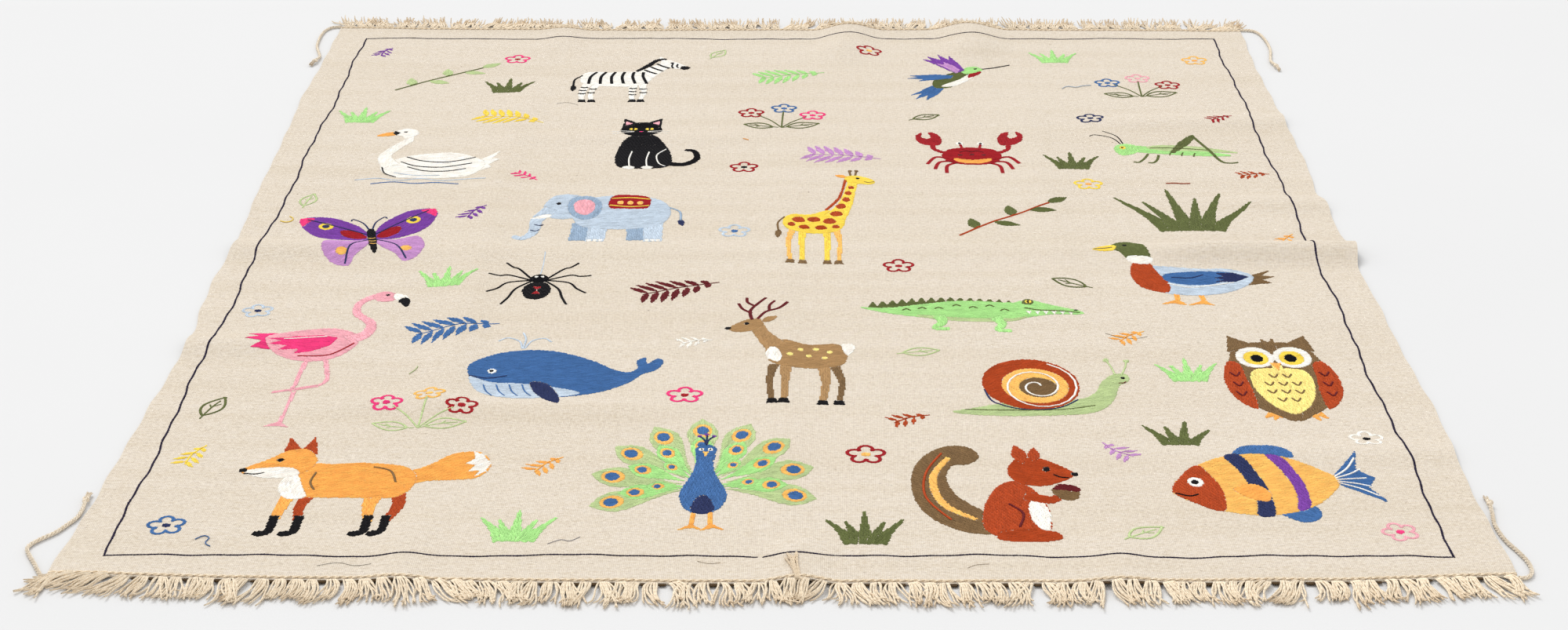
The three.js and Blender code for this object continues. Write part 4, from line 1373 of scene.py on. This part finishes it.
def filling(labels, low, index, grain, sizes, rng):
    """The stitches that fill one patch of a drawing, laid in rows along its grain like bricks: each
    as its middle's x and y, its angle and its length. Everything is in millimetres."""
    wide, long = sizes.stitch_wide / MM * 0.92, sizes.stitch_long / MM
    rows, columns = np.nonzero(labels == index)
    if not len(rows):
        return []
    angle = math.radians(own_grain(rows, columns) if grain is None else grain)
    ahead = np.array([math.cos(angle), math.sin(angle)])
    side = np.array([-ahead[1], ahead[0]])
    middles = np.stack([columns, rows], axis=1) + 0.5 + low
    along, across = middles @ ahead, middles @ side
    s = np.arange(along.min() - 2, along.max() + 3, 0.8)
    stitches = []
    for number, r in enumerate(np.arange(across.min() + wide * 0.4, across.max() + wide * 0.3, wide)):
        spots = np.floor(s[:, None] * ahead + r * side - low).astype(int)
        inside = ((spots >= 0) & (spots < labels.shape[::-1])).all(axis=1)
        hit = np.zeros(len(s), dtype=bool)
        hit[inside] = labels[spots[inside, 1], spots[inside, 0]] == index
        edges = np.flatnonzero(np.diff(np.concatenate([[0], hit.astype(int), [0]])))
        phase = (number % 3) * long / 3 + rng.uniform(-1.5, 1.5)
        for start, end in zip(s[edges[::2]], s[edges[1::2] - 1]):
            if end - start < 0.8 and len(rows) > 60:
                continue
            start, end = start + rng.uniform(-0.4, 1.0), end - rng.uniform(-0.4, 1.0)
            cuts = np.arange(math.ceil((start - phase) / long), math.floor((end - phase) / long) + 1) * long
            cuts = cuts + phase + rng.uniform(-1, 1, len(cuts))
            cuts = cuts[(cuts > start + 3.5) & (cuts < end - 3.5)]
            marks = np.concatenate([[start], cuts, [end]])
            for a, b in zip(marks[:-1], marks[1:]):
                middle = (a + b) / 2 * ahead + r * side
                stitches.append((middle[0], middle[1], angle + rng.normal(0, 0.035), b - a + 3.6))
    return stitches


def stem_stitching(path, wide, rng):
    """The slanting, overlapping stitches of a line, in one or more strands side by side. Each is as
    those of a filling, with its width."""
    gone = np.concatenate([[0], np.cumsum(np.linalg.norm(np.diff(path, axis=0), axis=1))])
    if gone[-1] < 1:
        return []
    strand_count = max(1, round(wide / 2.7))
    pitch = 4.6
    count = max(1, round(gone[-1] / pitch))
    at = (np.arange(count) + 0.5) / count * gone[-1]
    x, y = (np.interp(at, gone, path[:, k]) for k in (0, 1))
    before, after = (np.clip(at + step, 0, gone[-1]) for step in (-2.0, 2.0))
    angle = np.arctan2(np.interp(after, gone, path[:, 1]) - np.interp(before, gone, path[:, 1]),
                       np.interp(after, gone, path[:, 0]) - np.interp(before, gone, path[:, 0]))
    long = min(8.6, gone[-1] / count * 1.8)
    stitches = []
    for strand in range(strand_count):
        aside = (strand - (strand_count - 1) / 2) * wide / strand_count
        for i in range(count):
            stitches.append((x[i] - aside * math.sin(angle[i]), y[i] + aside * math.cos(angle[i]),
                             angle[i] + 0.16 + rng.normal(0, 0.04), long, wide / strand_count * 1.12))
    return stitches


def stitched(name, unit, drawing, at, turn, size, context, material, rng):
    """Embroiders one drawing on the cloth, as one mesh of stitches. at is in the cloth's tables, and size
    is across and up."""
    sizes, dyes = context.scene.kilim_sizes, context.scene.kilim_yarns
    scaled = [(kind, dye, turned(shape * size, turn), last)
              for kind, dye, shape, last in drawing]
    every = np.concatenate([shape for _, _, shape, _ in scaled])
    low = np.floor(every.min(axis=0)) - 3
    cells = np.ceil(every.max(axis=0) - low).astype(int) + 3
    labels = np.full(cells[::-1], -1)
    for index, (kind, _, shape, _) in enumerate(scaled):
        if kind == "fill":
            labels[covered(shape, low, cells)] = index
    rows, colours = [], []
    for index, (kind, dye, shape, last) in enumerate(scaled):
        dye = np.array(getattr(dyes, dye))
        dye = dye / max(STITCH_SHADE, dye.max() / 0.95)
        if kind == "fill":
            grain = None if last is None else (last if size[0] > 0 else 180 - last) + turn
            made = [(*stitch, sizes.stitch_wide / MM * 1.22, 0.0)
                    for stitch in filling(labels, low, index, grain, sizes, rng)]
        else:
            made = []
            for x, y, angle, long, wide in stem_stitching(shape, last * size[1], rng):
                column, row = np.floor(np.array([x, y]) - low).astype(int)
                made.append((x, y, angle, long, wide, 0.8 if labels[row, column] >= 0 else 0.0))
        rows += made
        colours += [dye * (1 + 0.075 * rng.normal()) for _ in made]
    x, y, angle, long, wide, above = np.array(rows).T
    return lay_stitches(name, unit, x * MM + at[0], y * MM + at[1], angle, long * MM, wide * MM, above * MM,
                        np.clip(colours, 0, 0.93), sizes, material, rng)


def lay_stitches(name, unit, x, y, angle, long, wide, above, colours, sizes, material, rng):
    """Lays stitches on the cloth's face: copies of the unit at each place in the cloth's tables."""
    c, s = np.cos(angle)[:, None], np.sin(angle)[:, None]
    px = unit.points[None, :, 0] * long[:, None]
    py = unit.points[None, :, 1] * wide[:, None]
    tall = wide * rng.uniform(0.46, 0.58, len(wide))
    points = np.empty((len(x), len(unit.points), 3))
    points[..., 0] = x[:, None] + px * c - py * s
    points[..., 1] = y[:, None] + px * s + py * c
    height = face_height(points[..., 0], points[..., 1], sizes.cloth_thick)
    # The ends dip into the cloth, where the yarn goes through.
    dip = 0.0007 * np.abs(unit.points[:, 0] * 2) ** 4
    points[..., 2] = height + above[:, None] + 0.0003 + unit.points[None, :, 2] * tall[:, None] - dip
    points[..., :2] += TABLE_SHIFT
    return finish_piece(joined(name, unit, points, material, dyes=colours))


class KILIM_OT_stage(bpy.types.Operator):
    """Adds the floor, the soft studio light and the camera at the photograph's angle"""

    bl_idname = "kilim.stage"
    bl_label = "Stage"

    def execute(self, context):
        scene = context.scene
        bpy.ops.object.select_all(action="DESELECT")
        bpy.ops.mesh.primitive_plane_add(size=60, location=(0, 0, -0.0004))
        floor = context.object
        floor.name = "floor"
        bpy.ops.object.transform_apply(location=True)
        floor.data.materials.append(painted_floor(scene.kilim_colours.floor))
        world = bpy.data.worlds.new("studio_air")
        world.use_nodes = True
        background = world.node_tree.nodes["Background"]
        background.inputs["Color"].default_value = (1, 1, 1, 1)
        background.inputs["Strength"].default_value = 0.98
        scene.world = world
        # A wide soft light high behind the rug, to the left
        bpy.ops.object.light_add(type="SUN", rotation=(math.radians(-38), math.radians(-22), 0))
        softbox = context.object
        softbox.data.angle = math.radians(30)
        softbox.data.energy = 1.62
        bpy.ops.object.camera_add(location=CAMERA_PLACE, rotation=(math.pi / 2 - CAMERA_PITCH, 0, 0))
        camera = context.object
        camera.name = "camera"
        camera.data.sensor_width = SENSOR_MM
        camera.data.lens = CAMERA_LENS_MM
        camera.data.shift_x = CAMERA_SHIFT
        scene.camera = camera
        scene.view_settings.view_transform = "Standard"
        return {"FINISHED"}


class KILIM_OT_corner_cords(bpy.types.Operator):
    """Lays the four plied corner cords on the floor and ties a knot near each end"""

    bl_idname = "kilim.corner_cords"
    bl_label = "Corner Cords"

    def execute(self, context):
        sizes = context.scene.kilim_sizes
        colours = context.scene.kilim_colours
        steps = 10
        unit = strand_unit(6, steps)
        wool = plied_yarn("plied_wool_cord", colours.cord, colours.fringe_tip, 0.006)
        rng = np.random.default_rng(5)
        ply = sizes.cord_thick / (1 + 2 / math.sqrt(3)) / 2
        for corner, (end, side, lies) in CORD_ROUTES.items():
            edge = np.array(place(0.0 if side < 0 else 1.0, 0.0 if end < 0 else 1.0))
            way_out = edge + (side * GAP, end * (GAP + HEADING_DEEP / 2))
            flat = np.array([way_out, *lies]) + TABLE_SHIFT
            rise = np.zeros(len(flat))
            rise[-2:] = (KNOT_RADIUS - sizes.cord_thick / 2) / 3, KNOT_RADIUS - sizes.cord_thick / 2
            route = np.column_stack([flat, sizes.cord_thick / 2 + rise])
            line = smooth_line(route, 90)
            plies = twisted(line, 3, sizes.cord_thick / 2 - ply, 0.021)
            lines = np.concatenate([chunks(one, steps) for one in plies])
            points, uv = strands(unit, steps, lines, ply)
            shade = np.repeat(rng.uniform(0, 0.25, (len(lines), 1)), len(unit.points), axis=1)
            cord = joined(f"{corner}_corner_cord", unit, points, wool, {"tone": 0.08, "shade": shade}, uv=uv)
            knot = self.knot(corner, unit, steps, line, ply, wool, rng)
            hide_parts(f"cord_{corner}")
            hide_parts(f"knot_{corner}")
            for piece in (cord, knot):
                finish_piece(piece)
        return {"FINISHED"}

    def knot(self, corner, unit, steps, line, ply, wool, rng):
        """An overhand knot in the cord, and the brush of cut ends beyond it."""
        ahead = line[-1] - line[-4]
        ahead[2] = 0
        ahead /= np.linalg.norm(ahead)
        side = np.array([-ahead[1], ahead[0], 0])
        up = np.array([0, 0, 1.0])
        t = np.linspace(0, 2 * math.pi, 61)
        loop = np.column_stack([np.sin(t) + 2 * np.sin(2 * t), np.cos(t) - 2 * np.cos(2 * t), -np.sin(3 * t)])
        centre = line[-1] + ahead * 0.0065
        ring = centre + 0.00118 * (loop[:, :1] * ahead * 1.25 + loop[:, 1:2] * side + loop[:, 2:] * up * 1.2)
        lines = list(chunks(ring, steps))
        radii = [0.0024] * len(lines)
        for _ in range(14):
            spread = rng.normal(0, 1, 2) * (0.0021, 0.0012)
            share = np.linspace(0, 1, steps + 1)[:, None]
            root = centre + side * spread[0] * 0.6 + up * spread[1]
            long = rng.uniform(0.018, 0.025)
            tip = side * spread[0] * 0.6 - up * (centre[2] - 0.002) * 0.7
            lines.append(root + ahead * long * share + tip * share**1.6)
            radii.append(0.00095)
        points, uv = strands(unit, steps, np.stack(lines), np.array(radii)[:, None])
        points[..., 2] = np.maximum(points[..., 2], 0.0001)
        tone = np.where(np.arange(len(lines))[:, None] < len(lines) - 14, 0.12,
                        np.clip(uv[..., 1] / 0.024, 0, 1) * 0.5)
        return joined(f"{corner}_corner_knot", unit, points, wool, {"tone": tone, "shade": 0.1}, uv=uv)


class KILIM_OT_cloth(bpy.types.Operator):
    """Weaves the cloth: one sheet that follows the loom's uneven edges and lies in soft ridges"""

    bl_idname = "kilim.cloth"
    bl_label = "Cloth"

    def execute(self, context):
        sizes = context.scene.kilim_sizes
        wide = 2 * HALF_WIDTH
        long = ENDS[3, 2] - ENDS[3, 1]
        columns, rows = round(wide / sizes.mesh_step), round(long / sizes.mesh_step)
        bpy.ops.object.select_all(action="DESELECT")
        bpy.ops.mesh.primitive_grid_add(x_subdivisions=columns, y_subdivisions=rows, size=2)
        cloth = context.object
        cloth.name = "woven_cloth"
        mesh = cloth.data
        points = np.empty(len(mesh.vertices) * 3)
        mesh.vertices.foreach_get("co", points)
        points = points.reshape(-1, 3)
        across, along = (points[:, 0] + 1) / 2, (points[:, 1] + 1) / 2
        x, y = place(across, along)
        # The selvedges waver where the weft was drawn in.
        x += 0.0012 * np.sin(y / 0.019) * (2 * across - 1) ** 15
        points[:] = np.stack([x, y, face_height(x, y, sizes.cloth_thick)], axis=1)
        points[:, :2] += TABLE_SHIFT
        mesh.vertices.foreach_set("co", points.ravel())
        layer = mesh.uv_layers[0]
        layer.name = "weave"
        places = np.empty(len(mesh.loops) * 2)
        layer.data.foreach_get("uv", places)
        layer.data.foreach_set("uv", (places.reshape(-1, 2) * (wide, long)).ravel())
        mesh.update()
        solidify = cloth.modifiers.new("thickness", "SOLIDIFY")
        solidify.thickness = sizes.cloth_thick
        solidify.offset = -1
        bpy.ops.object.modifier_apply(modifier=solidify.name)
        bpy.ops.object.shade_smooth_by_angle(angle=math.radians(40))
        mesh.materials.append(woven_wool(context.scene.kilim_colours, sizes))
        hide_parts("kilim_cloth")
        finish_piece(cloth)
        return {"FINISHED"}


class KILIM_OT_fringes(bpy.types.Operator):
    """Twines the heading along each end of the cloth and knots the warp ends under it in bundles"""

    bl_idname = "kilim.fringes"
    bl_label = "Fringes"

    def execute(self, context):
        sizes = context.scene.kilim_sizes
        colours = context.scene.kilim_colours
        steps = 10
        unit = strand_unit(5, steps)
        wool = plied_yarn("plied_wool_warp_ends", colours.fringe, colours.fringe_tip, 0.0085)
        rng = np.random.default_rng(11)
        for end, name in ((-1, "near"), (1, "far")):
            self.heading(name, end, unit, steps, wool, sizes, rng)
            self.bundles(name, end, unit, steps, wool, sizes, rng)
        self.turned_up(unit, steps, wool, sizes, rng)
        return {"FINISHED"}

    def heading(self, name, end, unit, steps, wool, sizes, rng):
        """Two yarns twined along the edge, once round for each bundle."""
        across = np.linspace(0.0005, 0.9995, 1201)
        x, y = place(across, 0.0 if end < 0 else 1.0)
        line = np.column_stack([x, y - end * 0.0050, face_height(x, y, sizes.cloth_thick) + 0.0012])
        line[:, :2] += TABLE_SHIFT
        pitch = 2 * HALF_WIDTH / BUNDLES
        lines = []
        for one in twisted(line, 2, 0.0012, pitch):
            lines.append(chunks(one[::2], steps))
        lines = np.concatenate(lines)
        points, uv = strands(unit, steps, lines, 0.0013)
        shade = np.repeat(rng.uniform(0, 0.2, (len(lines), 1)), len(unit.points), axis=1)
        piece = joined(f"{name}_heading_twine", unit, points, wool, {"tone": 0.05, "shade": shade}, uv=uv)
        finish_piece(piece)
        # Painted shadow: dark yarn pieces between the knots of the fringe stand in for the shade under the
        # cloth's edge.
        short = stitch_unit()
        across = mix(CORNER_INSET, 1 - CORNER_INSET, np.arange(BUNDLES + 1) / BUNDLES)
        x, y = place(across, 0.0 if end < 0 else 1.0)
        y = y + end * (GAP + PAINTED_SHADOW_PIECE[1] / 2 - 0.0012)
        middle = np.stack([x, y, lift(x, y) + slack(x, y) + PAINTED_SHADOW_PIECE[2] / 2 + 0.0004], axis=1)
        middle[:, :2] += TABLE_SHIFT
        spread = rng.uniform(0.7, 1.15, (len(middle), 1, 1)) * np.array(PAINTED_SHADOW_PIECE)
        dark = np.broadcast_to(linear("#54432f"), (len(middle), 3))
        piece = joined(f"{name}_heading_wraps", short, middle[:, None] + short.points * spread,
                       material_named("dyed_embroidery_wool"), dyes=dark)
        return finish_piece(piece)

    def lean(self, x, end):
        """How far a bundle leans from straight out, in radians."""
        drift = 0.2 * math.sin(x / 0.052 + end * 2.1) + 0.16 * math.sin(x / 0.131 + end)
        return drift + SPLAY[end] * (x / HALF_WIDTH) ** 5

    def bundles(self, name, end, unit, steps, wool, sizes, rng):
        """The warp ends: gathered in a knot under the heading, then flared and draped on the floor."""
        share = np.linspace(0, 1, steps + 1)
        lines, tones, shades = [], [], []
        radius = sizes.warp_thick / 2
        for bundle in range(BUNDLES):
            across = mix(CORNER_INSET, 1 - CORNER_INSET, (bundle + 0.5) / BUNDLES)
            x, y = (float(v) for v in place(across, 0.0 if end < 0 else 1.0))
            raised = float(lift(x, y)) + float(slack(x, y))
            lean = self.lean(x, end) + rng.normal(0, 0.14)
            # A bundle that leans far was cut longer, to reach the same line.
            long = BUNDLE_LONG[end] * rng.uniform(0.84, 1.1) / max(0.5, math.cos(lean)) ** 0.35
            curl = rng.normal(0, 0.28)
            flare = rng.uniform(0.0105, 0.0145)
            soiled = rng.uniform(0.1, 0.6)
            sway = 0.26 * np.sin(share * rng.uniform(3, 6) + rng.uniform(0, 6.3))
            for yarn in range(sizes.bundle_yarns):
                slot = (yarn + 0.5) / sizes.bundle_yarns * 2 - 1
                root = slot * 0.0066
                angle = lean + sway + rng.normal(0, 0.07) + (curl + rng.normal(0, 0.27)) * share**1.5
                angle = angle + 0.13 * np.sin(share * rng.uniform(6, 10) + rng.uniform(0, 6.3))
                own = long * rng.uniform(0.82, 1.07)
                step = own / steps
                forward = np.cumsum(np.cos(angle)) * step
                sideways = np.cumsum(np.sin(angle)) * step
                spread = root + (slot * flare - root) * (1 - (1 - share) ** 3)
                fan_x = np.cos(lean) * spread
                fan_y = -np.sin(lean) * spread
                px = x + sideways + fan_x
                py = y + end * (forward - step + 0.0008 + fan_y)
                over = rng.uniform(0.0, 0.0034)
                bow = np.sin(np.clip(share * 1.25, 0, 1) * math.pi) * over
                knot = 0.0020 * hump((share - 0.08) / 0.34) + 0.0006 * (1 - abs(slot))
                low = radius + 0.0004 + knot
                fall = raised * hump(share / 0.625)
                tip = (share > 0.8) * (share - 0.8) * rng.uniform(0, 0.022) * (2.6 if end > 0 else 0.8)
                lines.append(np.column_stack([px, py, low + bow + fall + tip]))
                tones.append(np.clip(share - 0.35, 0, 1) ** 1.3 * soiled * 1.8)
                shades.append(rng.uniform(0, 0.07))
        lines = np.array(lines)
        lines[..., :2] += TABLE_SHIFT
        thick = radius * np.interp(share, (0, 0.12, 0.88, 1), (0.8, 1, 1, 0.6))
        points, uv = strands(unit, steps, lines, thick[None])
        points[..., 2] = np.maximum(points[..., 2], 0.0002)
        ring = np.round(unit.points[:, 2] * steps).astype(int)
        tone = np.array(tones)[:, ring]
        shade = np.repeat(np.array(shades)[:, None], len(unit.points), axis=1)
        piece = joined(f"{name}_fringe_yarns", unit, points, wool, {"tone": tone, "shade": shade}, uv=uv)
        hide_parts(f"{name}_fringe")
        return finish_piece(piece)

    def turned_up(self, unit, steps, wool, sizes, rng):
        """The one bundle that lies turned up over the near edge."""
        share = np.linspace(0, 1, steps + 1)
        x0, y0 = 0.018, float(place(0.509, 0.0)[1])
        lines = []
        for yarn in range(sizes.bundle_yarns):
            slot = (yarn + 0.5) / sizes.bundle_yarns * 2 - 1
            bow = rng.normal(0, 0.0022) * np.sin(share * math.pi) + rng.normal(0, 0.002) * share**2
            x = x0 + slot * mix(0.0030, 0.0080, share**2) - 0.009 * share + bow
            y = y0 - 0.006 + 0.070 * share * rng.uniform(0.78, 1.06)
            top = face_height(x, np.maximum(y, y0), sizes.cloth_thick)
            lines.append(np.column_stack([x, y, top + 0.0016 + 0.002 * np.sin(share * math.pi) * (yarn % 2)]))
        lines = np.array(lines)
        lines[..., :2] += TABLE_SHIFT
        points, uv = strands(unit, steps, lines, sizes.warp_thick / 2)
        piece = joined("turned_up_bundle", unit, points, wool, {"tone": 0.2, "shade": 0.25}, uv=uv)
        return finish_piece(piece)


class KILIM_OT_border_line(bpy.types.Operator):
    """Stitches the dark border line, a hand's breadth inside the edges"""

    bl_idname = "kilim.border_line"
    bl_label = "Border Line"

    def execute(self, context):
        sizes = context.scene.kilim_sizes
        rng = np.random.default_rng(3)
        path = []
        corners = [*BORDER_CORNERS, BORDER_CORNERS[0]]
        for side, (start, end) in enumerate(zip(corners[:-1], corners[1:])):
            start, end = np.array(start), np.array(end)
            ahead = (end - start) / np.linalg.norm(end - start)
            gone = np.arange(0, np.linalg.norm(end - start), 0.003)
            sway = 0.0026 * np.sin(gone / 0.083 + side) + 0.0017 * np.sin(gone / 0.031 + 2 * side)
            sway = sway + 0.0008 * np.sin(gone / 0.0105 + 3 * side)
            sway = sway * np.minimum(1, np.minimum(gone, gone[-1] - gone) / 0.05)
            path.append(start + gone[:, None] * ahead + sway[:, None] * np.array([-ahead[1], ahead[0]]))
        path = np.concatenate([*path, [BORDER_CORNERS[0]]])
        made = np.array(stem_stitching(path / MM, 2.7, rng))
        in_gap = (made[:, 1] < 0) & (made[:, 0] > BORDER_GAP[0] / MM) & (made[:, 0] < BORDER_GAP[1] / MM)
        x, y, angle, long, wide = made[~in_gap].T
        long, wide = long * 1.15, wide * rng.uniform(0.85, 1.15, len(wide)) * 0.92
        dye = np.array(context.scene.kilim_yarns.border) / STITCH_SHADE
        colours = dye * (1 + 0.16 * rng.normal(size=(len(x), 1)))
        lay_stitches("border_line_stitches", stitch_unit(), x * MM, y * MM, angle, long * MM, wide * MM,
                     np.full(len(x), 0.0002), np.clip(colours, 0, 1), sizes,
                     material_named("dyed_embroidery_wool"), rng)
        return {"FINISHED"}


class KILIM_OT_animals(bpy.types.Operator):
    """Embroiders the animals, each as one mesh of stitches"""

    bl_idname = "kilim.animals"
    bl_label = "Animals"

    def execute(self, context):
        unit = stitch_unit()
        wool = material_named("dyed_embroidery_wool")
        for number, (draw, x, y, turn, size, face) in enumerate(ANIMAL_PLACES):
            rng = np.random.default_rng(100 + number)
            stitched(f"embroidered_{draw.__name__}", unit, draw(), (x * MM, y * MM), turn,
                     (size * face, size * TALLER), context, wool, rng)
        return {"FINISHED"}


class KILIM_OT_plants(bpy.types.Operator):
    """Embroiders the small flowers, ferns, leaves and grasses between the animals"""

    bl_idname = "kilim.plants"
    bl_label = "Plants"

    def execute(self, context):
        unit = stitch_unit()
        wool = material_named("dyed_embroidery_wool")
        for number, (draw, colours, x, y, turn, size) in enumerate(PLANT_PLACES):
            rng = np.random.default_rng(300 + number)
            stitched(f"embroidered_{draw.__name__}_{number + 1:02d}", unit, draw(*colours), (x * MM, y * MM),
                     turn, (size, size), context, wool, rng)
        return {"FINISHED"}


class KILIM_OT_loose_threads(bpy.types.Operator):
    """Leaves a few snipped ends of wool and stray hairs on the cloth"""

    bl_idname = "kilim.loose_threads"
    bl_label = "Loose Threads"

    def execute(self, context):
        steps = 10
        unit = strand_unit(5, steps)
        lines, radii, dyes = [], [], []
        for wool, half, route in LOOSE_THREADS:
            flat = smooth_line(pairs(route) * MM, steps)
            top = face_height(flat[:, 0], flat[:, 1], context.scene.kilim_sizes.cloth_thick)
            lines.append(np.column_stack([flat + TABLE_SHIFT, top + half * MM * 0.8 + 0.0004]))
            radii.append(half * MM)
            dyes.append(getattr(context.scene.kilim_yarns, wool))
        points, _ = strands(unit, steps, np.array(lines), np.array(radii)[:, None])
        piece = joined("loose_threads", unit, points, material_named("dyed_embroidery_wool"),
                       dyes=np.array([tuple(dye) for dye in dyes]))
        finish_piece(piece)
        return {"FINISHED"}


class KILIM_OT_declare_cloth(bpy.types.Operator):
    bl_idname = "kilim.declare_cloth"
    bl_label = "Declare Cloth"

    def execute(self, context):
        return {"FINISHED"}


class KILIM_PT_panel(bpy.types.Panel):
    """The rug's making, step by step"""

    bl_label = "Embroidered Kilim"
    bl_idname = "KILIM_PT_panel"
    bl_space_type = "VIEW_3D"
    bl_region_type = "UI"
    bl_category = "Kilim"

    def draw(self, context):
        layout = self.layout
        for group in (context.scene.kilim_sizes, context.scene.kilim_colours, context.scene.kilim_yarns):
            box = layout.box()
            for name in group.__annotations__:
                box.prop(group, name)
        for operator in OPERATORS:
            layout.operator(operator.bl_idname)


OPERATORS = (KILIM_OT_stage, KILIM_OT_corner_cords, KILIM_OT_cloth, KILIM_OT_fringes, KILIM_OT_border_line,
             KILIM_OT_animals, KILIM_OT_plants, KILIM_OT_loose_threads, KILIM_OT_declare_cloth)
GROUPS = {"kilim_sizes": KilimSizes, "kilim_colours": KilimColours, "kilim_yarns": KilimYarns}
CLASSES = (*GROUPS.values(), *OPERATORS, KILIM_PT_panel)


def register():
    for cls in CLASSES:
        bpy.utils.register_class(cls)
    for name, group in GROUPS.items():
        setattr(bpy.types.Scene, name, PointerProperty(type=group))


def unregister():
    for name in GROUPS:
        delattr(bpy.types.Scene, name)
    for cls in reversed(CLASSES):
        bpy.utils.unregister_class(cls)


def main():
    register()
    bpy.ops.kilim.stage()
    bpy.ops.kilim.corner_cords()
    bpy.ops.kilim.cloth()
    bpy.ops.kilim.fringes()
    bpy.ops.kilim.border_line()
    bpy.ops.kilim.animals()
    bpy.ops.kilim.plants()
    bpy.ops.kilim.loose_threads()
    bpy.ops.kilim.declare_cloth()


if __name__ == "__main__":
    main()
